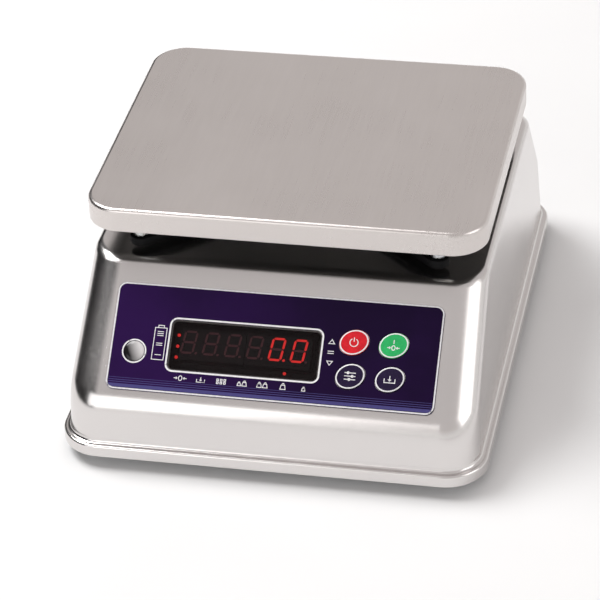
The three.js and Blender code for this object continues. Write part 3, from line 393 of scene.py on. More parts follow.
# ---------------------------------------------------------------- making materials
class Recipe:
    """One material: a Principled shader and the nodes that drive it."""

    def __init__(self, name, base, roughness, metallic=0.0, **values):
        self.material = bpy.data.materials.new(name)
        self.material.use_nodes = True
        self.nodes = self.material.node_tree.nodes
        self.links = self.material.node_tree.links
        self.shader = self.nodes["Principled BSDF"]
        self.base = tuple(base)
        self.shader.inputs["Base Color"].default_value = (*self.base, 1)
        self.shader.inputs["Roughness"].default_value = roughness
        self.shader.inputs["Metallic"].default_value = metallic
        for socket, value in values.items():
            self.shader.inputs[socket.replace("_", " ")].default_value = value
        self.place = self.add("ShaderNodeTexCoord").outputs["Object"]

    def add(self, kind, **settings):
        node = self.nodes.new(kind)
        for key, value in settings.items():
            setattr(node, key, value)
        return node

    def link(self, source, target):
        self.links.new(source, target)

    def stretched(self, scale):
        """Object coordinates scaled by different amounts along X, Y and Z."""
        mapping = self.add("ShaderNodeMapping")
        mapping.inputs["Scale"].default_value = scale
        self.link(self.place, mapping.inputs["Vector"])
        return mapping.outputs["Vector"]

    def noise(self, scale, detail=3.0, roughness=0.55, stretch=(1, 1, 1)):
        texture = self.add("ShaderNodeTexNoise")
        texture.inputs["Scale"].default_value = scale
        texture.inputs["Detail"].default_value = detail
        texture.inputs["Roughness"].default_value = roughness
        self.link(self.stretched(stretch), texture.inputs["Vector"])
        return texture.outputs["Fac"]

    def spread(self, source, low, high, start=0.3, end=0.7):
        """A texture's range start..end carried to low..high."""
        remap = self.add("ShaderNodeMapRange")
        for socket, value in zip(("From Min", "From Max", "To Min", "To Max"), (start, end, low, high)):
            remap.inputs[socket].default_value = value
        self.link(source, remap.inputs["Value"])
        return remap.outputs["Result"]

    def sum(self, first, second):
        node = self.add("ShaderNodeMath", operation="ADD")
        self.link(first, node.inputs[0])
        self.link(second, node.inputs[1])
        return node.outputs[0]

    def blend(self, factor, first, second):
        """A colour between two others; either may be a colour or a socket."""
        mix = self.add("ShaderNodeMix", data_type="RGBA")
        self.link(factor, mix.inputs["Factor"])
        for value, socket in ((first, mix.inputs["A"]), (second, mix.inputs["B"])):
            if isinstance(value, bpy.types.NodeSocket):
                self.link(value, socket)
            else:
                socket.default_value = (*value, 1)
        return mix.outputs["Result"]

    def shaded(self, by):
        """The base colour made darker or lighter."""
        return tuple(min(1.0, part * by) for part in self.base)

    def colour_from(self, factor, low, high):
        self.link(self.blend(factor, low, high), self.shader.inputs["Base Color"])

    def roughness_from(self, source):
        self.link(source, self.shader.inputs["Roughness"])

    def bump(self, height, distance):
        node = self.add("ShaderNodeBump")
        node.inputs["Strength"].default_value = 1.0
        node.inputs["Distance"].default_value = distance
        self.link(height, node.inputs["Height"])
        self.link(node.outputs["Normal"], self.shader.inputs["Normal"])


def steel(name, base, roughness, stretch, grain=900.0, depth=3e-7):
    """Stainless sheet: fine grain drawn out one way, cloudy handling marks and a few hairline scuffs."""
    recipe = Recipe(name, base, roughness, metallic=1.0)
    lines = recipe.noise(grain, detail=4, roughness=0.7, stretch=stretch)
    clouds = recipe.noise(14, detail=3)
    hairs = recipe.noise(grain * 0.35, detail=2, stretch=tuple(part * 1.3 for part in stretch[::-1]))
    rough = recipe.sum(
        recipe.spread(lines, roughness - 0.03, roughness + 0.03),
        recipe.spread(clouds, -0.03, 0.03),
    )
    recipe.roughness_from(recipe.sum(rough, recipe.spread(hairs, 0.0, 0.004, 0.6, 0.8)))
    tone = recipe.sum(recipe.spread(lines, 0.0, 0.55), recipe.spread(clouds, 0.0, 0.45))
    recipe.colour_from(tone, recipe.shaded(0.975), recipe.shaded(1.025))
    recipe.bump(lines, depth)
    return recipe.material


def zinc(name, roughness):
    """Zinc-plated steel with faint bands of yellow and blue."""
    recipe = Recipe(name, (0.62, 0.62, 0.60), roughness, metallic=1.0)
    clouds = recipe.noise(160, detail=3)
    recipe.colour_from(recipe.spread(clouds, 0, 1), (0.60, 0.58, 0.52), (0.60, 0.63, 0.66))
    recipe.roughness_from(recipe.spread(recipe.noise(700), roughness - 0.07, roughness + 0.1))
    recipe.bump(recipe.noise(1800, detail=2), 3e-6)
    return recipe.material


def galvanised():
    """Galvanised plate with crystal spangle."""
    recipe = Recipe("galvanised_plate", (0.52, 0.53, 0.54), 0.42, metallic=1.0)
    cells = recipe.add("ShaderNodeTexVoronoi")
    cells.inputs["Scale"].default_value = 130
    recipe.link(recipe.place, cells.inputs["Vector"])
    split = recipe.add("ShaderNodeSeparateColor")
    recipe.link(cells.outputs["Color"], split.inputs["Color"])
    tone = split.outputs["Red"]
    recipe.colour_from(tone, recipe.shaded(0.86), recipe.shaded(1.08))
    recipe.roughness_from(recipe.spread(tone, 0.32, 0.5, 0, 1))
    recipe.bump(recipe.noise(1200), 4e-6)
    return recipe.material


def milled_aluminium():
    """Aluminium with fine cutter marks along X."""
    recipe = Recipe("milled_aluminium", (0.72, 0.73, 0.74), 0.36, metallic=1.0)
    marks = recipe.noise(1400, detail=3, stretch=(0.04, 1, 1))
    recipe.colour_from(recipe.spread(marks, 0, 1), recipe.shaded(0.92), recipe.shaded(1.04))
    recipe.roughness_from(recipe.spread(marks, 0.3, 0.44))
    recipe.bump(marks, 4e-6)
    return recipe.material


def cast_paint():
    """Black powder coat over a casting, with its orange-peel texture."""
    recipe = Recipe("black_powder_coat", (0.003, 0.003, 0.0034), 0.5, Specular_IOR_Level=0.12)
    recipe.colour_from(recipe.spread(recipe.noise(60), 0, 1), recipe.shaded(0.7), recipe.shaded(1.6))
    peel = recipe.noise(1500, detail=2)
    recipe.roughness_from(recipe.spread(peel, 0.42, 0.62))
    recipe.bump(peel, 3e-5)
    return recipe.material


def rubber(name, base, roughness=0.78):
    """Moulded rubber with a fine matt grain and a little dust."""
    recipe = Recipe(name, base, roughness)
    dust = recipe.noise(90, detail=4)
    dusty = tuple(part * 1.3 + 0.008 for part in base)
    recipe.colour_from(recipe.spread(dust, 0, 1), recipe.shaded(0.8), dusty)
    fine = recipe.noise(2600, detail=2)
    recipe.roughness_from(recipe.spread(fine, roughness - 0.1, roughness + 0.08))
    recipe.bump(fine, 1.2e-5)
    return recipe.material


def moulding(name, base, roughness=0.45):
    """Moulded plastic with a fine spark-eroded texture."""
    recipe = Recipe(name, base, roughness)
    fine = recipe.noise(2200, detail=2)
    recipe.colour_from(recipe.spread(recipe.noise(45), 0, 1), recipe.shaded(0.85), recipe.shaded(1.15))
    recipe.roughness_from(recipe.spread(fine, roughness - 0.08, roughness + 0.08))
    recipe.bump(fine, 8e-6)
    return recipe.material


def panel_film(base):
    """Printed polyester film: deeper towards the right, a fine embossed texture and faint wipe marks."""
    recipe = Recipe("panel_film", base, 0.3, Specular_IOR_Level=0.08)
    across = recipe.add("ShaderNodeSeparateXYZ")
    recipe.link(recipe.place, across.inputs["Vector"])
    fade = recipe.spread(across.outputs["X"], 0.0, 1.0, -0.09, 0.05)
    clouds = recipe.spread(recipe.noise(24, detail=3), -0.25, 0.25)
    recipe.colour_from(recipe.sum(fade, clouds), recipe.shaded(1.45), recipe.shaded(0.62))
    wiped = recipe.noise(300, detail=3, stretch=(0.2, 1, 1))
    recipe.roughness_from(recipe.spread(wiped, 0.28, 0.33))
    recipe.bump(recipe.noise(3200, detail=1), 2e-6)
    return recipe.material


def key_cap(name, base):
    """Embossed clear-coated key, its colour a little uneven."""
    recipe = Recipe(name, base, 0.24, Coat_Weight=0.2, Coat_Roughness=0.06, Specular_IOR_Level=0.15)
    recipe.colour_from(recipe.spread(recipe.noise(220), 0, 1), recipe.shaded(0.85), recipe.shaded(1.12))
    recipe.roughness_from(recipe.spread(recipe.noise(900), 0.2, 0.3))
    recipe.bump(recipe.noise(2600, detail=1), 2e-6)
    return recipe.material


def ink(name, base, roughness=0.45):
    """Screen-printed ink, a little uneven."""
    recipe = Recipe(name, base, roughness)
    patches = recipe.noise(700, detail=2)
    recipe.colour_from(recipe.spread(patches, 0, 1), recipe.shaded(0.9), recipe.shaded(1.06))
    recipe.roughness_from(recipe.spread(patches, roughness - 0.08, roughness + 0.08))
    return recipe.material


def smoked_lens():
    """Dark red window that lets the digits show through."""
    recipe = Recipe("smoked_lens", (0.004, 0.0008, 0.0012), 0.06, Alpha=0.42, Specular_IOR_Level=0.25)
    recipe.roughness_from(recipe.spread(recipe.noise(120, detail=3), 0.04, 0.1))
    recipe.colour_from(recipe.spread(recipe.noise(40), 0, 1), recipe.shaded(0.7), recipe.shaded(1.4))
    return recipe.material


def lit_segment(name, base, strength):
    """A glowing segment, its glow a little uneven."""
    recipe = Recipe(name, base, 0.4, Emission_Strength=strength)
    glow = recipe.spread(recipe.noise(900), 0, 1)
    both = recipe.blend(glow, recipe.shaded(0.8), recipe.shaded(1.0))
    recipe.link(both, recipe.shader.inputs["Base Color"])
    recipe.link(both, recipe.shader.inputs["Emission Color"])
    return recipe.material


def level_glass(low, high):
    """The vial behind its window, with a painted reflection: dark at the lower left, pale at the upper right."""
    recipe = Recipe("level_glass", (0.4, 0.4, 0.4), 0.12, Specular_IOR_Level=0.3)
    split = recipe.add("ShaderNodeSeparateXYZ")
    recipe.link(recipe.place, split.inputs["Vector"])
    # Painted reflection: a fixed gradient, dark at the lower left and pale at the upper right, in place of the
    # light on the dome.
    along = recipe.sum(
        recipe.spread(split.outputs["X"], -0.75, 0.75, low.x, high.x),
        recipe.spread(split.outputs["Z"], -0.2, 0.75, low.z, high.z),
    )
    recipe.colour_from(along, (0.012, 0.011, 0.012), (0.62, 0.60, 0.60))
    recipe.bump(recipe.noise(200, detail=1), 1e-6)
    return recipe.material


def board(name, base):
    """Circuit board: solder mask over tracks."""
    recipe = Recipe(name, base, 0.38)
    tracks = recipe.add("ShaderNodeTexBrick")
    tracks.inputs["Scale"].default_value = 160
    tracks.inputs["Mortar Size"].default_value = 0.05
    tracks.inputs["Color1"].default_value = (1, 1, 1, 1)
    tracks.inputs["Color2"].default_value = (0.7, 0.7, 0.7, 1)
    tracks.inputs["Mortar"].default_value = (0, 0, 0, 1)
    recipe.link(recipe.place, tracks.inputs["Vector"])
    recipe.colour_from(tracks.outputs["Color"], recipe.shaded(1.8), recipe.base)
    recipe.bump(tracks.outputs["Color"], 2e-5)
    return recipe.material


# ---------------------------------------------------------------- places on the panel
def panel_place():
    """The matrix that carries panel coordinates to the row frame."""
    panel, housing = bpy.context.scene.bench_panel, bpy.context.scene.bench_housing
    low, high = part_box("housing")
    down = panel.from_top + panel.height / 2
    tilt = housing.panel_tilt
    middle = Vector((0, low.y + housing.front_inset - down * math.cos(tilt), high.z - down * math.sin(tilt)))
    return Matrix.Translation(middle) @ Matrix.Rotation(tilt, 4, "X")


def panel_point(node):
    """A node's middle in panel coordinates."""
    return panel_place().inverted() @ node_middle(node)


def node_depths(node):
    """The lowest and the highest w that a node reaches."""
    inverse = panel_place().inverted()
    depths = [(inverse @ v.co).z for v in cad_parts[node].data.vertices]
    return min(depths), max(depths)


def panel_face():
    return GAP + bpy.context.scene.bench_panel.thickness


def on_panel(piece):
    piece.data.transform(panel_place())
    return piece


def panel_print(name, flats, material):
    """Print on the panel's film."""
    face = panel_face()
    placed(on_panel(printed(name, flats, PRINT, lambda u, v: face)), "base", material)


# ---------------------------------------------------------------- housing
def bend_levels(bend, start, end, steps=7):
    """The heights of even steps round a bend, from one angle to another."""
    turns = (start + (end - start) * i / steps for i in range(steps + 1))
    return [bend["z"] + bend["radius"] * math.sin(turn) for turn in turns]


def on_bend(bend, z):
    return bend["out"] + math.sqrt(max(0.0, bend["radius"] ** 2 - (z - bend["z"]) ** 2))


def side_face(sizes, foot, foot_z, top, inset):
    """A leaning wall that bends into the top plate: how far out it is, how far bent in, and its bend's heights."""
    lean = sizes.side_lean

    def wall(z, shift):
        return foot - (z - foot_z) * math.tan(lean) - shift / math.cos(lean)

    bend_z = top - sizes.side_bend
    bend = {"z": bend_z, "out": wall(bend_z, sizes.side_bend), "radius": sizes.side_bend - inset}
    start = bend_z + bend["radius"] * math.sin(lean)

    def out(z):
        return wall(z, inset) if z <= start else on_bend(bend, z)

    return out, lambda z: wall(z, inset) - out(z), bend_levels(bend, lean, math.pi / 2)


def sloped_face(sizes, end, foot, foot_z, edge, top, inset):
    """The front or the rear end: an apron, a slope and the top plate, with a bend between each."""
    lean = sizes.apron_lean
    tilt = {"front": sizes.panel_tilt, "rear": sizes.rear_tilt}[end]
    edge -= getattr(sizes, f"{end}_inset")
    low_bend, top_bend = getattr(sizes, f"{end}_low_bend"), getattr(sizes, f"{end}_top_bend")

    def apron(z, shift):
        return foot - (z - foot_z) * math.tan(lean) - shift / math.cos(lean)

    def slope(z, shift):
        return edge + (top - z) / math.tan(tilt) - shift / math.sin(tilt)

    low_z = (slope(0, low_bend) - apron(0, low_bend)) / (1 / math.tan(tilt) - math.tan(lean))
    low = {"z": low_z, "out": apron(low_z, low_bend), "radius": low_bend - inset}
    high = {"z": top - top_bend, "out": slope(top - top_bend, top_bend), "radius": top_bend - inset}
    normal = math.pi / 2 - tilt
    low_start = low["z"] + low["radius"] * math.sin(lean)
    low_end = low["z"] + low["radius"] * math.sin(normal)
    high_start = high["z"] + high["radius"] * math.sin(normal)

    def out(z):
        if z <= low_start:
            return apron(z, inset)
        if z < low_end:
            return on_bend(low, z)
        if z <= high_start:
            return slope(z, inset)
        return on_bend(high, z)

    return out, bend_levels(low, lean, normal) + bend_levels(high, normal, math.pi / 2)


CORNER_STEPS = 18
FIRST_LEVEL = 0.5 * MM  # from the cove up to the first level of the walls
CLOSEST_LEVELS = 0.06 * MM


def housing_rings(sizes, inset):
    """The housing's levels from its bottom edge up, for the outer surface or, with inset, the inner one."""
    low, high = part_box("housing")
    half_width, half_depth, top = high.x, high.y, high.z
    rim_top = low.z + sizes.rim_height

    def rim(shift, z):
        return even_ring(half_width, half_depth, sizes.corner, shift, z, CORNER_STEPS)

    rings = [rim(inset, low.z)]
    radius = sizes.rim_edge - inset
    for turn in turn_steps(6):
        out, up = radius * math.cos(turn), radius * math.sin(turn)
        rings.append(rim(sizes.rim_edge - out, rim_top - sizes.rim_edge + up))
    cove = sizes.cove + inset
    for turn in turn_steps(6):
        out, up = cove * math.sin(turn), cove * math.cos(turn)
        rings.append(rim(sizes.ledge - sizes.cove + out, rim_top + sizes.cove - up))
    foot = half_depth - sizes.ledge
    side, bent_in, side_levels = side_face(sizes, half_width - sizes.ledge, rim_top, top, inset)
    front, front_levels = sloped_face(sizes, "front", foot, rim_top, half_depth, top, inset)
    rear, rear_levels = sloped_face(sizes, "rear", foot, rim_top, half_depth, top, inset)
    last = top - inset
    heights = [rim_top + sizes.cove + FIRST_LEVEL]
    for z in sorted(side_levels + front_levels + rear_levels):
        if z - heights[-1] > CLOSEST_LEVELS and z < last - CLOSEST_LEVELS / 2:
            heights.append(z)
    for z in [*heights, last]:
        corner = sizes.corner - sizes.ledge - inset - bent_in(z)
        rings.append(ring(side(z), front(z), rear(z), corner, z, CORNER_STEPS))
    return rings


WINDOW_LEDGE = 0.9 * MM  # how far the window's edge rests on the housing
KEY_HOLE, KEY_STEM = 2.8 * MM, 2.5 * MM  # radii
SOCKET_HOLE = 5.8 * MM  # radius
CUT = (-4 * MM, 4 * MM)  # how far a cutter reaches each way from the surface


def round_cutter(name, at, radius, place, steps=48):
    """A cylinder that stands through the surface of a place, at a point of its plane."""
    cutter = skinned(name, [oval(at.x, at.y, radius, radius, steps=steps, w=w) for w in CUT])
    cutter.data.transform(place)
    return cutter


def housing_shell(sizes, panel, finish):
    """The drawn shell, cut for the window, the level, the keys' stems, the post and the charging socket."""
    piece = skinned("housing_shell", housing_rings(sizes, 0.0)[::-1] + housing_rings(sizes, sizes.sheet))
    place = panel_place()
    opening = window_outline(panel, WINDOW_LEDGE)
    window = skinned("window_opening", [[(u, v, w) for u, v, _ in opening] for w in CUT])
    window.data.transform(place)
    level_hole = panel.level_radius + GAP
    holes = [window, round_cutter("level_opening", panel_point("level_window"), level_hole, place)]
    for name in KEYS:
        holes.append(round_cutter(f"{name}_opening", panel_point(f"key_{name}"), KEY_HOLE, place))
    top = Matrix.Translation((0, 0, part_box("housing")[1].z))
    holes.append(round_cutter("post_opening", node_middle("post"), sizes.post_hole, top, 72))
    holes.append(round_cutter("socket_opening", Vector((0, 0)), SOCKET_HOLE, socket_place(sizes)))
    carved(piece, holes)
    metal = steel("satin_steel", finish.housing_steel, 0.22, (1, 1, 0.05), grain=700, depth=2e-7)
    return placed(piece, "base", metal, ["housing"])


def socket_place(sizes):
    """The charging socket's frame: z straight out of the leaning rear apron."""
    at = node_middle("charge_socket")
    low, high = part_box("housing")
    foot = high.y - sizes.ledge
    y = foot - (at.z - low.z - sizes.rim_height) * math.tan(sizes.apron_lean)
    return Matrix.Translation((at.x, y, at.z)) @ Matrix.Rotation(sizes.apron_lean - math.pi / 2, 4, "X")


# ---------------------------------------------------------------- pan and what carries it
PAN_CORNER_STEPS = 20


def pan_shell(sizes, finish):
    """The pan: an even sheet turned down all round, brushed outside, with painted shade inside: its underside is
    dark steel.
    """
    low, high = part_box("pan")
    half_width, half_depth = (high.x - low.x) / 2, (high.y - low.y) / 2
    y = (low.y + high.y) / 2

    def level(shift, z):
        return even_ring(half_width, half_depth, sizes.corner, shift, z, PAN_CORNER_STEPS, y)

    def skin(inset):
        radius = sizes.bend - inset
        return [
            level(sizes.bend - radius * math.cos(turn), high.z - sizes.bend + radius * math.sin(turn))
            for turn in turn_steps(8)
        ]

    lip = sizes.sheet / 2
    edge = [
        level(lip - lip * math.cos(turn), low.z + lip - lip * math.sin(turn))
        for turn in turn_steps(6, math.pi)
    ]
    piece = skinned("pan_shell", skin(0.0)[::-1] + edge + skin(sizes.sheet))
    metal = steel("brushed_steel", finish.pan_steel, 0.3, (1, 0.03, 1), grain=700, depth=1.5e-7)
    # Painted shade: the underside and the skirt's inner faces get dark steel in place of the shade under the pan.
    inside = steel("unpolished_steel", (0.16, 0.155, 0.15), 0.5, (1, 0.03, 1), grain=500)
    piece.data.materials.append(metal)
    piece.data.materials.append(inside)
    # Faces under the top and inside the skirt take the painted shade.
    for face in piece.data.polygons:
        middle = face.center
        under = middle.z < high.z - sizes.sheet / 2 and face.normal.z < -0.5
        inward = face.normal.xy.dot(Vector((middle.x, middle.y - y)).normalized()) < -0.3
        face.material_index = 1 if (under or inward) and middle.z > low.z + sizes.sheet else 0
    return placed(piece, "pan", None, ["pan"])


def pegs():
    """The four pegs that the pan stands on: a nut, a neck and a head with broken edges."""
    metal = zinc("peg_plate", 0.25)
    for corner in CORNERS:
        node = f"pan_peg_{corner}"
        head, rise, place = node_radius(node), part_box(node)[1].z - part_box(node)[0].z, standing_at(node)
        neck, nut, nut_height, bevel = head - 3.7 * MM, head - 2.1 * MM, 4 * MM, 1.2 * MM
        section = [(0, 0), (nut, 0), (nut, nut_height), (neck, nut_height), (neck, rise - 7 * MM)]
        section += [(head, rise - 5 * MM), (head, rise - bevel), (head - bevel, rise), (0, rise)]
        peg = turned(f"peg_{corner}", section, place)
        placed(peg, "carrier", metal, [node])


def post_and_seal():
    """The post, the folded rubber seal round it, and the steel ring that clamps the seal."""
    low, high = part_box("post")
    at = Matrix.Translation((node_middle("post").x, node_middle("post").y, 0))
    flange, flange_top = node_radius("post"), low.z + 4 * MM
    stem = flange - 3 * MM
    section = [(0, low.z), (flange, low.z), (flange, flange_top)]
    section += [(stem, flange_top), (stem, high.z), (0, high.z)]
    placed(turned("post_bar", section, at), "carrier", milled_aluminium(), ["post"])
    low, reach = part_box("post_seal")[0], node_radius("post_seal")
    inner, rest, steps = stem + GAP, 7.6 * MM, 24
    fold = thickness = 0.8 * MM
    wave = []
    for step in range(steps + 1):
        t = step / steps
        wave.append((inner + t * (reach - rest - inner), low.z + fold * math.sin(math.pi * t) ** 2))
    wave.append((reach, low.z))
    over = [(out, height + thickness) for out, height in wave[::-1]]
    seal = turned_ring("seal_fold", wave + over, at)
    placed(seal, "base", rubber("seal_rubber", (0.016, 0.016, 0.017)), ["post_seal"])
    low, high = (corner.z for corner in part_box("seal_ring"))
    inner = bpy.context.scene.bench_housing.post_hole
    bevel = 0.25 * MM
    section = [(inner + bevel, low), (reach - bevel, low), (reach, low + bevel), (reach, high - bevel)]
    section += [(reach - bevel, high), (inner + bevel, high), (inner, high - bevel), (inner, low + bevel)]
    clamp = turned_ring("clamp_ring", section, at)
    metal = steel("clamp_steel", (0.6, 0.59, 0.58), 0.28, (1, 1, 0.1), grain=900)
    placed(clamp, "base", metal, ["seal_ring"])


# ---------------------------------------------------------------- panel and its print
KEYS = {"off": "red", "on_zero": "green", "set": "indigo", "tare": "indigo"}
PRINT = 0.03 * MM  # thickness of the print
STRIPES = ((2.3, 2.0), (4.3, 0.4), (5.5, 0.35), (6.8, 0.25))  # height from the foot and width, mm
MARK_LINE, SIGN_LINE = 0.42 * MM, 0.5 * MM  # widths of the lines of the panel's marks and of the keys' signs


def rounded_outline(middle, width, height, corner, inset=0.0, steps=10):
    """A rounded rectangle's points about a middle on the panel."""
    high = height / 2 - inset
    outline = ring(width / 2 - inset, high, high, max(0.3 * MM, corner - inset), 0.0, steps)
    return [(middle.x + u, middle.y + v, 0.0) for u, v, _ in outline]


def window_outline(panel, inset=0.0):
    """The display window's outline, or one inside it by inset."""
    window = panel_point("display_window")
    return rounded_outline(window, panel.window_width, panel.window_height, panel.window_corner, inset)


def key_oval(panel, name, grow=0.0, w=0.0, steps=48):
    at = panel_point(f"key_{name}")
    return oval(at.x, at.y, panel.key_long + grow, panel.key_short + grow, panel.key_turn, steps, w)


def overlay(panel, finish):
    """The film itself, with its openings, and the silver line round its edge."""
    centre, around = Vector((0, 0, 0)), panel.level_radius + GAP
    level = panel_point("level_window")
    outlines = [rounded_outline(centre, panel.width, panel.height, panel.corner, steps=12)]
    outlines += [window_outline(panel), oval(level.x, level.y, around, around)]
    outlines += [key_oval(panel, name, GAP) for name in KEYS]
    film = on_panel(sheet("panel_film", outlines, GAP, panel_face(), 0.12 * MM))
    placed(film, "base", panel_film(finish.overlay), ["panel_overlay"])
    edge = rounded_outline(centre, panel.width, panel.height, panel.corner, 0.55 * MM, steps=12)
    border = stroke(edge, 0.85 * MM, closed=True)
    panel_print("panel_border", border, ink("silver_ink", (0.74, 0.73, 0.75), 0.3))


def stripes(panel, finish):
    """A broad band along the foot of the panel with fine lines above it."""
    flats = []
    reach = panel.width / 2 - 1.3 * MM
    foot = -panel.height / 2
    for up, width in STRIPES:
        v = foot + up * MM
        flats += stroke([(-reach, v), (reach, v)], width * MM)
    panel_print("panel_stripes", flats, ink("blue_ink", finish.stripe))


def moved(lines, u, v, scale=1.0):
    """Marks scaled about their own middle and then moved."""
    return [([(u + x * scale, v + y * scale) for x, y in points], closed) for points, closed in lines]


def arc(x, y, radius, start, end, steps=16, squash=1.0):
    points = []
    for step in range(steps + 1):
        turn = math.radians(start + (end - start) * step / steps)
        points.append((x + radius * squash * math.cos(turn), y + radius * math.sin(turn)))
    return points


def arrow(x0, y0, x1, y1, head=0.55):
    """A line with a head at its second end."""
    along = Vector((x1 - x0, y1 - y0)).normalized()
    across = Vector((-along.y, along.x))
    tip = Vector((x1, y1))
    wings = [tip - along * head + across * head, tip, tip - along * head - across * head]
    return [([(x0, y0), (x1, y1)], False), ([tuple(point) for point in wings], False)]


def zero_mark():
    return [(arc(0, 0, 1.15, 0, 360, 20, 0.72)[:-1], True), *arrow(-3.1, 0, -1.5, 0), *arrow(3.1, 0, 1.5, 0)]


def tare_mark():
    return [([(-1.9, 0.3), (-1.9, -1.15), (1.9, -1.15), (1.9, 0.3)], False), *arrow(0, 1.3, 0, -0.5)]


def count_mark():
    return [
        ([(x - 0.42, y - 0.42), (x + 0.42, y - 0.42), (x + 0.42, y + 0.42), (x - 0.42, y + 0.42)], True)
        for x in (-1.7, 0, 1.7)
        for y in (-0.7, 0.7)
    ]


def weight_mark(x, size):
    """A bench weight: a tapered body with a loop on top."""
    body = [(-1.1, 0), (1.1, 0), (0.75, 1.7), (-0.75, 1.7)]
    loop = arc(0, 2.05, 0.42, -60, 240, 10)
    return moved([(body, True), (loop, False)], x, -1.2, size)


def charge_mark():
    """A standing battery with one, two and three bars in it."""
    shell = [(-3.2, -9.4), (3.6, -9.4), (3.6, 9.2), (-3.2, 9.2)]
    cap = [(-1.4, 9.2), (-1.4, 10.6), (1.8, 10.6), (1.8, 9.2)]
    lines = [(shell, True), (cap, False)]
    for row, bars in enumerate((1, 2, 3)):
        for bar in range(bars):
            y = -6.6 + row * 6.2 + (bar - (bars - 1) / 2) * 1.15
            lines.append(([(-1.6, y), (2.0, y)], False))
    return lines


def panel_marks(panel, finish):
    """White print: the window's frame, the level's ring, the battery and the signs below and beside the window."""
    window, level = panel_point("display_window"), panel_point("level_window")
    flats = stroke(window_outline(panel, -0.55 * MM), 0.95 * MM, closed=True)
    around = panel.level_radius + GAP + 0.45 * MM
    flats += stroke(oval(level.x, level.y, around, around), 0.8 * MM, closed=True)
    left = window.x - panel.window_width / 2
    right = window.x + panel.window_width / 2
    low = window.y - panel.window_height / 2
    marks = moved(charge_mark(), left - 6 * MM, window.y - 0.1 * MM, MM)
    labels = [
        zero_mark(),
        tare_mark(),
        count_mark(),
        weight_mark(-1.2, 0.75) + weight_mark(1.3, 1.0),
        weight_mark(-1.4, 1.0) + weight_mark(1.4, 1.0),
        weight_mark(0, 1.15),
        weight_mark(0, 0.75),
    ]
    first, pitch = left + 9 * MM, 11.8 * MM
    for i, label in enumerate(labels):
        marks += moved(label, first + i * pitch, low - 4.3 * MM, 1.2 * MM)
    up = [([(-1.3, -0.8), (1.3, -0.8), (0, 1.1)], True)]
    even = [([(-1.4, -0.5), (1.4, -0.5)], False), ([(-1.4, 0.5), (1.4, 0.5)], False)]
    down = [([(-1.3, 0.8), (1.3, 0.8), (0, -1.1)], True)]
    for sign, height in ((up, 8.9), (even, 2.9), (down, -3.2)):
        marks += moved(sign, right + 5.8 * MM, window.y + height * MM, 1.25 * MM)
    for points, closed in marks:
        flats += stroke(points, MARK_LINE, closed)
    panel_print("panel_marks", flats, ink("white_ink", finish.print_white))


# ---------------------------------------------------------------- keys
def key_crown(panel, t):
    """Height of a key's crown at a share t of its radius."""
    return panel_face() + panel.key_rise * (0.42 + 0.58 * math.sqrt(max(0.0, 1 - t**3)))


LINE_FROM, LINE_TO = 0.88, 0.975  # the white line round a key, as shares of its radius
NEAR_EDGE = (LINE_FROM, LINE_FROM + 0.01, 0.94, LINE_TO, 0.99, 1.0)
KEY_RINGS = (0.05, 0.2, 0.35, 0.5, 0.62, 0.72, 0.8, 0.86, *NEAR_EDGE)
KEY_SIDES = 64


def key_share(panel, at, u, v):
    """How far out a point lies on a key that is centred at a place, as a share of the key's radius there."""
    x, y = u - at.x, v - at.y
    turn = -panel.key_turn
    long = (x * math.cos(turn) - y * math.sin(turn)) / panel.key_long
    short = (x * math.sin(turn) + y * math.cos(turn)) / panel.key_short
    return math.hypot(long, short)


def key_marks():
    """The generic sign on each key."""
    sliders = []
    for y, knob in ((1.9, -1.2), (0, 1.3), (-1.9, -0.3)):
        sliders += [([(-3.2, y), (3.2, y)], False), (arc(knob, y, 0.6, 0, 360, 12)[:-1], True)]
    return {
        "off": [(arc(0, -0.2, 2.3, -240, 60, 24), False), ([(0, 0.3), (0, 2.7)], False)],
        "on_zero": [([(0, 0.8), (0, 3.1)], False), *moved(zero_mark(), 0, -1.5, 1.15)],
        "set": sliders,
        "tare": moved(tare_mark(), 0, -0.1, 1.6),
    }


def divided(points, closed, pitch=0.4 * MM):
    """The same line with points no further apart than pitch, so that it follows a crown."""
    ends = list(zip(points, points[1:] + points[:1] if closed else points[1:]))
    out = []
    for (x0, y0), (x1, y1) in ends:
        steps = max(1, math.ceil(math.hypot(x1 - x0, y1 - y0) / pitch))
        out += [(x0 + (x1 - x0) * k / steps, y0 + (y1 - y0) * k / steps) for k in range(steps)]
    return out if closed else [*out, points[-1]]


def keys(panel, finish):
    """The crowned keys, each with a stem behind it, a white line near its edge and a raised sign."""
    white = ink("key_line", finish.print_white, 0.3)
    tints = ("red", "green", "indigo")
    caps = {tint: key_cap(f"{tint}_key", getattr(finish, f"{tint}_key")) for tint in tints}
    signs = key_marks()
    long, short, turn = panel.key_long, panel.key_short, panel.key_turn
    under = GAP + 0.6 * MM
    for name, tint in KEYS.items():
        node = f"key_{name}"
        at = panel_point(node)
        rings = []
        for t in KEY_RINGS:
            rings.append(oval(at.x, at.y, long * t, short * t, turn, KEY_SIDES, key_crown(panel, t)))
        rings.append(key_oval(panel, name, w=under, steps=KEY_SIDES))
        for w in (under, node_depths(node)[0]):
            rings.append(oval(at.x, at.y, KEY_STEM, KEY_STEM, turn, KEY_SIDES, w))
        cap = skinned(f"{name}_key_cap", rings)
        paint_key_line(cap.data, panel, at, caps[tint], white)
        placed(on_panel(cap), node, None, [node], math.radians(50))
        flats = []
        for points, closed in moved(signs[name], at.x, at.y, MM):
            flats += stroke(divided(points, closed), SIGN_LINE, closed)

        def crown(u, v, at=at):
            return key_crown(panel, key_share(panel, at, u, v))

        sign = printed(f"{name}_key_sign", flats, PRINT, crown)
        placed(on_panel(sign), node, white)


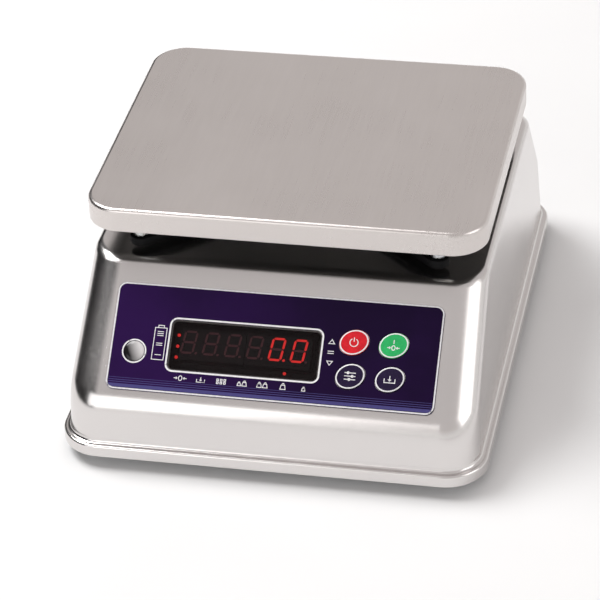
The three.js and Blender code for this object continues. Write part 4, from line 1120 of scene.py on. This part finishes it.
def paint_key_line(mesh, panel, at, cap, white):
    """Gives the faces near a key's edge the white line's ink."""
    mesh.materials.append(cap)
    mesh.materials.append(white)
    for face in mesh.polygons:
        share = key_share(panel, at, face.center.x, face.center.y)
        on_line = LINE_FROM < share < LINE_TO and face.center.z > panel_face()
        face.material_index = 1 if on_line else 0


# ---------------------------------------------------------------- display
SEGMENTS = {
    "top": ((-1, 1), (1, 1)),
    "upper_right": ((1, 1), (1, 0)),
    "lower_right": ((1, 0), (1, -1)),
    "bottom": ((-1, -1), (1, -1)),
    "lower_left": ((-1, 0), (-1, -1)),
    "upper_left": ((-1, 1), (-1, 0)),
    "middle": ((-1, 0), (1, 0)),
}
ZERO = set(SEGMENTS) - {"middle"}
DISPLAYED = (set(), set(), set(), set(), ZERO, ZERO)  # the lit segments of each digit, from the left
POINT_AFTER = 4  # the digit whose decimal point is lit
DIGIT_PITCH = 12.7 * MM
SEGMENT_WIDTH, SEGMENT_GAP = 1.25 * MM, 0.25 * MM
POINT_RADIUS = 0.75 * MM
GLOW_HEIGHT = 0.05 * MM  # how far a segment stands out of its module
LAMPS = ((-39.6, 6.9), (-39.6, 0.4), (-39.6, -6.0), (23.6, -10.4))  # from the window's middle, mm
# The lens's levels from the back to the front: inset and height, mm.
LENS_LEVELS = ((1.2, -3.0), (1.2, 0.25), (0.3, 0.3), (0.3, 0.95), (0.38, 1.06), (0.5, 1.1))


def digit_shapes(panel, centre_u, centre_v):
    """One digit's seven slanted bars and its point, as flat outlines by name."""
    half_width, half_height = 3.4 * MM, panel.digit_height / 2 - SEGMENT_WIDTH / 2
    shapes = {}
    for name, (start, end) in SEGMENTS.items():
        a = Vector((start[0] * half_width, start[1] * half_height))
        b = Vector((end[0] * half_width, end[1] * half_height))
        along = (b - a).normalized()
        across = Vector((-along.y, along.x)) * SEGMENT_WIDTH / 2
        tip, shoulder = along * SEGMENT_GAP, along * (SEGMENT_GAP + SEGMENT_WIDTH / 2)
        upper = [a + tip, a + shoulder + across, b - shoulder + across]
        shapes[name] = upper + [b - tip, b - shoulder - across, a + shoulder - across]
    low = -panel.digit_height / 2 + 0.7 * MM
    dot = oval(half_width + 2.0 * MM, low, POINT_RADIUS, POINT_RADIUS, steps=16)
    shapes["point"] = [Vector(p[:2]) for p in dot]
    lean = math.tan(panel.digit_slant)
    return {
        name: [(centre_u + p.x + p.y * lean, centre_v + p.y) for p in outline]
        for name, outline in shapes.items()
    }


def display(panel, finish):
    """The digits' segments, the lamps beside them and the smoked lens over all."""
    left, right = panel_point("digit_module_left"), panel_point("digit_module_right")
    face_w = node_depths("digit_module_left")[1]
    middle = (left.x + right.x) / 2 - 1.0 * MM
    lit, unlit = [], []
    for i, on in enumerate(DISPLAYED):
        centre = middle + (i - (len(DISPLAYED) - 1) / 2) * DIGIT_PITCH
        for name, outline in digit_shapes(panel, centre, left.y + 1.0 * MM).items():
            glows = name in on or (name == "point" and i == POINT_AFTER)
            (lit if glows else unlit).append(outline)
    red = lit_segment("lit_segment", finish.lit, 1.6)
    # Painted light: the unlit segments glow faintly, in place of the light that reaches them through the lens.
    painted_glow = lit_segment("unlit_segment", (0.26, 0.08, 0.10), 0.06)
    for name, outlines, material in (("lit_segments", lit, red), ("unlit_segments", unlit, painted_glow)):
        bars = printed(name, outlines, GLOW_HEIGHT, lambda u, v: face_w)
        placed(on_panel(bars), "base", material)
    window = panel_point("display_window")
    section = [(0, 0), (0.95 * MM, 0), (0.95 * MM, 0.5 * MM), (0.6 * MM, 0.9 * MM), (0, 1.05 * MM)]
    for number, (u, v) in enumerate(LAMPS, 1):
        place = Matrix.Translation((window.x + u * MM, window.y + v * MM, face_w - 0.6 * MM))
        lamp = turned(f"lamp_{number}", section, place, 0.2 * MM, 24)
        placed(on_panel(lamp), "base", red)
    rings = [[(u, v, w * MM) for u, v, _ in window_outline(panel, inset * MM)] for inset, w in LENS_LEVELS]
    lens = on_panel(skinned("display_lens", rings))
    placed(lens, "base", smoked_lens(), ["display_window"])


def level(panel):
    """The level's domed window."""
    at = panel_point("level_window")
    radius, face = panel.level_radius, panel_face()
    back, rise = -2.2 * MM, 1.0 * MM
    section = [(0, back), (radius, back), (radius, face)]
    section += [(radius * math.cos(turn), face + rise * math.sin(turn)) for turn in turn_steps(12)[1:]]
    dome = on_panel(turned("level_dome", section, Matrix.Translation((at.x, at.y, 0)), 0.1 * MM, 64))
    placed(dome, "base", level_glass(*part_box("level_window")), ["level_window"])


# ---------------------------------------------------------------- feet and charging socket
def feet():
    """The four rubber feet, each with a ring groove round its side."""
    soft = rubber("foot_rubber", (0.014, 0.014, 0.015))
    for corner in CORNERS:
        node = f"foot_pad_{corner}"
        radius, top = node_radius(node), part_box(node)[1].z
        groove, hollow, edge, bore_foot = 0.5 * MM, 0.5 * MM, 1.2 * MM, 2.8 * MM
        section = [(0, hollow), (radius * 0.55, hollow), (radius * 0.62, 0), (radius - edge, 0)]
        section += [(radius, edge), (radius, top * 0.4), (radius - groove, top * 0.46)]
        section += [(radius - groove, top * 0.54), (radius, top * 0.6), (radius, top - 1.8 * MM)]
        section += [(radius - 2 * MM, top), (3.4 * MM, top), (3.3 * MM, bore_foot), (0, bore_foot)]
        pad = turned(f"rubber_foot_{corner}", section, standing_at(node), 0.3 * MM, 64)
        placed(pad, node, soft, [node])


def socket_and_cap(sizes):
    """The charging socket with its centre pin, and the rubber cap with the plug that fills its bore."""
    place = socket_place(sizes)
    face = GAP + 1.3 * MM
    barrel, flange, bore, pin = 5.5 * MM, 8 * MM, 2.8 * MM, 1.0 * MM
    back, bore_end, pin_end = -14 * MM, face - 9 * MM, -0.5 * MM
    section = [(0, back), (barrel, back), (barrel, GAP), (flange, GAP), (flange, face), (bore, face)]
    section += [(bore, bore_end), (pin, bore_end), (pin, pin_end), (0, pin_end)]
    body = turned("socket_body", section, place, 0.3 * MM)
    plastic = moulding("socket_plastic", (0.014, 0.014, 0.015))
    placed(body, "base", plastic, ["charge_socket"])
    low = face + GAP
    plug_in, plug_out, plug_end, cap_radius = 1.3 * MM, 2.5 * MM, low - 6 * MM, 7.5 * MM
    top, dish = low + 2.2 * MM, low + 1.7 * MM
    section = [(0, low), (plug_in, low), (plug_in, plug_end), (plug_out, plug_end), (plug_out, low)]
    section += [(cap_radius, low), (cap_radius, low + 1.4 * MM), (6.6 * MM, top), (3.4 * MM, top)]
    section += [(3.0 * MM, dish), (0, dish)]
    cap = turned("rubber_cap", section, place, 0.4 * MM)
    placed(cap, "socket_cap", rubber("cap_rubber", (0.22, 0.22, 0.21), 0.7), ["socket_cap"])


# ---------------------------------------------------------------- pieces that keep their own shape
BROKEN_EDGE, BROKEN_FROM = 0.25 * MM, math.radians(40)  # the bevel, and the sharpest angle that goes without


def dressed(node, material):
    """Gives a node its finish and breaks its sharp edges a little."""
    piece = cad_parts[node]
    piece.data.materials.clear()
    piece.data.materials.append(material)
    piece.data.polygons.foreach_set("use_smooth", [True] * len(piece.data.polygons))
    weld = piece.modifiers.new("Weld", "WELD")
    weld.merge_threshold = 1e-6
    edges = piece.modifiers.new("Broken edges", "BEVEL")
    edges.width = BROKEN_EDGE
    edges.segments = 2
    edges.limit_method = "ANGLE"
    edges.angle_limit = BROKEN_FROM
    edges.harden_normals = True


def numbered(stem, count):
    return [f"{stem}_{i + 1}" for i in range(count)]


def fittings():
    """Finishes for the base plate, the load cell, the battery and everything else that stays as it is."""
    fasteners = zinc("zinc_plate", 0.3)
    alloy = bpy.data.materials.get("milled_aluminium") or milled_aluminium()
    plate = galvanised()
    screws = numbered("base_screw", 6) + numbered("cell_lower_screw", 2) + numbered("cell_upper_screw", 2)
    threaded = [f"foot_{part}_{corner}" for corner in CORNERS for part in ("stud", "nut")]
    groups = {
        fasteners: [*screws, "overload_stop", "spider_screw", *threaded],
        alloy: ["load_cell", "cell_base_block", "cell_spacer"],
        plate: ["base_plate", "cell_bracket", "battery_strap"],
        cast_paint(): ["pan_spider"],
        rubber("gasket_rubber", (0.02, 0.02, 0.02)): ["base_gasket"],
        board("display_board_mask", (0.004, 0.004, 0.005)): ["display_board"],
        board("main_board_mask", (0.01, 0.09, 0.03)): ["main_board"],
        moulding("switch_plastic", (0.012, 0.012, 0.013)): [f"switch_{name}" for name in KEYS],
        moulding("digit_face", (0.004, 0.0035, 0.004), 0.6): ["digit_module_left", "digit_module_right"],
        moulding("battery_case", (0.02, 0.02, 0.022), 0.4): ["battery"],
        steel("vial_metal", (0.6, 0.6, 0.6), 0.25, (1, 1, 0.1)): ["level_vial"],
    }
    for material, nodes in groups.items():
        for node in nodes:
            dressed(node, material)


# ---------------------------------------------------------------- stage
def studio_sky(world):
    """A pale room: grey above, white below, and a dark side to the left that gives the corners contrast."""
    world.use_nodes = True
    nodes, links = world.node_tree.nodes, world.node_tree.links
    nodes.clear()
    place = nodes.new("ShaderNodeTexCoord")
    split = nodes.new("ShaderNodeSeparateXYZ")
    links.new(place.outputs["Generated"], split.inputs["Vector"])

    def stop(source, start, end, low=0.0, high=1.0, interpolation="SMOOTHSTEP"):
        remap = nodes.new("ShaderNodeMapRange")
        remap.interpolation_type = interpolation
        for socket, value in zip(("From Min", "From Max", "To Min", "To Max"), (start, end, low, high)):
            remap.inputs[socket].default_value = value
        links.new(source, remap.inputs["Value"])
        return remap.outputs["Result"]

    def product(first, second):
        node = nodes.new("ShaderNodeMath")
        node.operation = "MULTIPLY"
        links.new(first, node.inputs[0])
        links.new(second, node.inputs[1])
        return node.outputs[0]

    ramp = nodes.new("ShaderNodeValToRGB")
    elements = ramp.color_ramp.elements
    elements.remove(elements[1])
    elements[0].position, elements[0].color = 0.0, (1.0, 0.99, 0.97, 1)
    tones = {0.54: (1.0, 0.99, 0.98), 0.72: (0.70, 0.665, 0.655), 1.0: (0.70, 0.67, 0.665)}
    for position, tone in tones.items():
        elements.new(position).color = (*tone, 1)
    links.new(stop(split.outputs["Z"], -1.0, 1.0, interpolation="LINEAR"), ramp.inputs["Fac"])
    leftward = stop(split.outputs["X"], -0.42, -0.27, 1.0, 0.0)
    above = stop(split.outputs["Z"], -0.2, -0.05)
    dark = product(leftward, product(above, stop(split.outputs["Z"], 0.83, 0.92, 1.0, 0.0)))
    shade = nodes.new("ShaderNodeMix")
    shade.data_type = "RGBA"
    links.new(dark, shade.inputs["Factor"])
    links.new(ramp.outputs["Color"], shade.inputs["A"])
    shade.inputs["B"].default_value = (0.01, 0.009, 0.01, 1)
    sky = nodes.new("ShaderNodeBackground")
    sky.inputs["Strength"].default_value = 0.93
    links.new(shade.outputs["Result"], sky.inputs["Color"])
    output = nodes.new("ShaderNodeOutputWorld")
    links.new(sky.outputs["Background"], output.inputs["Surface"])


def softbox(name, place, aim, width, depth, power):
    lamp = bpy.data.lights.new(name, "AREA")
    lamp.shape = "RECTANGLE"
    lamp.size, lamp.size_y = width, depth
    lamp.energy = power
    box = new_object(name, lamp)
    box.location = place
    box.rotation_euler = (Vector(aim) - Vector(place)).to_track_quat("-Z", "Y").to_euler()
    box.visible_camera = False
    return box


def studio(stage):
    """A pale floor, three soft lights and the camera."""
    scene = bpy.context.scene
    half = stage.floor_size / 2
    corners = [(-half, -half, 0), (half, -half, 0), (half, half, 0), (-half, half, 0)]
    floor = new_object("floor", mesh_of("floor", corners, [(0, 1, 2, 3)]))
    paper = Recipe("floor_paper", (0.86, 0.86, 0.86), 0.8)
    paper.colour_from(paper.spread(paper.noise(3), 0, 1), (0.84, 0.84, 0.84), (0.88, 0.88, 0.88))
    floor.data.materials.append(paper.material)
    scene.world = bpy.data.worlds.new("Studio")
    studio_sky(scene.world)
    aim = (0, 0, 0.05)
    softbox("key_box", (-1.25, 0.3, 2.2), aim, 1.3, 1.3, 52)
    softbox("front_box", (-1.15, -2.2, 1.05), (-0.1, -0.3, 0), 1.5, 1.7, 13)
    softbox("right_box", (2.2, -0.5, 1.5), aim, 1.6, 1.6, 12.5).visible_diffuse = False
    camera = bpy.data.cameras.new("Camera")
    camera.lens = stage.lens
    camera.sensor_width = 36
    camera.clip_start, camera.clip_end = 0.05, 50
    eye = new_object("Camera", camera)
    across, rise = math.cos(stage.elevation), math.sin(stage.elevation)
    back = Vector((math.sin(stage.azimuth) * across, -math.cos(stage.azimuth) * across, rise))
    looked_at = Vector((0.4, -45.1, 55.0)) * MM
    turn = (-back).to_track_quat("-Z", "Y").to_matrix().to_4x4()
    place = Matrix.Translation(looked_at + back * stage.distance)
    eye.matrix_world = place @ turn @ Matrix.Rotation(stage.roll, 4, "Z")
    scene.camera = eye
    scene.view_settings.view_transform = "Standard"


# ---------------------------------------------------------------- operators
class BENCH_OT_housing(bpy.types.Operator):
    """Build the drawn housing with its openings"""

    bl_idname = "bench.housing"
    bl_label = "Housing"

    def execute(self, context):
        scene = context.scene
        housing_shell(scene.bench_housing, scene.bench_panel, scene.bench_finish)
        return {"FINISHED"}


class BENCH_OT_pan(bpy.types.Operator):
    """Build the pan"""

    bl_idname = "bench.pan"
    bl_label = "Pan"

    def execute(self, context):
        pan_shell(context.scene.bench_pan, context.scene.bench_finish)
        return {"FINISHED"}


class BENCH_OT_carrier(bpy.types.Operator):
    """Build the pegs, the post, its seal and the clamp ring"""

    bl_idname = "bench.carrier"
    bl_label = "Carrier and seal"

    def execute(self, context):
        pegs()
        post_and_seal()
        return {"FINISHED"}


class BENCH_OT_overlay(bpy.types.Operator):
    """Build the front panel's film, its stripes and its print"""

    bl_idname = "bench.overlay"
    bl_label = "Front panel"

    def execute(self, context):
        panel, finish = context.scene.bench_panel, context.scene.bench_finish
        overlay(panel, finish)
        stripes(panel, finish)
        panel_marks(panel, finish)
        return {"FINISHED"}


class BENCH_OT_keys(bpy.types.Operator):
    """Build the four keys"""

    bl_idname = "bench.keys"
    bl_label = "Keys"

    def execute(self, context):
        keys(context.scene.bench_panel, context.scene.bench_finish)
        return {"FINISHED"}


class BENCH_OT_display(bpy.types.Operator):
    """Build the digits, the lamps and the window over them"""

    bl_idname = "bench.display"
    bl_label = "Display"

    def execute(self, context):
        display(context.scene.bench_panel, context.scene.bench_finish)
        return {"FINISHED"}


class BENCH_OT_level(bpy.types.Operator):
    """Build the level's window"""

    bl_idname = "bench.level"
    bl_label = "Level"

    def execute(self, context):
        level(context.scene.bench_panel)
        return {"FINISHED"}


class BENCH_OT_feet(bpy.types.Operator):
    """Build the four rubber feet"""

    bl_idname = "bench.feet"
    bl_label = "Feet"

    def execute(self, context):
        feet()
        return {"FINISHED"}


class BENCH_OT_socket(bpy.types.Operator):
    """Build the charging socket and its cap"""

    bl_idname = "bench.socket"
    bl_label = "Charging socket"

    def execute(self, context):
        socket_and_cap(context.scene.bench_housing)
        return {"FINISHED"}


class BENCH_OT_fittings(bpy.types.Operator):
    """Finish the plate, the load cell, the battery, the boards and the fasteners"""

    bl_idname = "bench.fittings"
    bl_label = "Inner pieces"

    def execute(self, context):
        fittings()
        return {"FINISHED"}


class BENCH_OT_stage(bpy.types.Operator):
    """Set up the floor, the light and the camera"""

    bl_idname = "bench.stage"
    bl_label = "Stage"

    def execute(self, context):
        studio(context.scene.bench_stage)
        return {"FINISHED"}


class BENCH_PT_scale(bpy.types.Panel):
    """Lists the sizes, the colours and the steps"""

    bl_idname = "BENCH_PT_scale"
    bl_label = "Bench Scale"
    bl_space_type = "VIEW_3D"
    bl_region_type = "UI"
    bl_category = "Bench Scale"

    def draw(self, context):
        for group_name in GROUPS:
            box = self.layout.box()
            group = getattr(context.scene, group_name)
            for setting in group.__annotations__:
                box.prop(group, setting)
        for step in STEPS:
            self.layout.operator(step.bl_idname)


GROUPS = {
    "bench_housing": BenchScaleHousing,
    "bench_pan": BenchScalePan,
    "bench_panel": BenchScalePanel,
    "bench_finish": BenchScaleFinish,
    "bench_stage": BenchScaleStage,
}
STEPS = (
    BENCH_OT_housing,
    BENCH_OT_pan,
    BENCH_OT_carrier,
    BENCH_OT_overlay,
    BENCH_OT_keys,
    BENCH_OT_display,
    BENCH_OT_level,
    BENCH_OT_feet,
    BENCH_OT_socket,
    BENCH_OT_fittings,
    BENCH_OT_stage,
)


def register():
    for name, group in GROUPS.items():
        bpy.utils.register_class(group)
        setattr(bpy.types.Scene, name, PointerProperty(type=group))
    for step in STEPS:
        bpy.utils.register_class(step)
    bpy.utils.register_class(BENCH_PT_scale)


def unregister():
    bpy.utils.unregister_class(BENCH_PT_scale)
    for step in reversed(STEPS):
        bpy.utils.unregister_class(step)
    for name, group in GROUPS.items():
        delattr(bpy.types.Scene, name)
        bpy.utils.unregister_class(group)


def main():
    register()
    for step in STEPS:
        family, name = step.bl_idname.split(".")
        getattr(getattr(bpy.ops, family), name)()


if __name__ == "__main__":
    main()
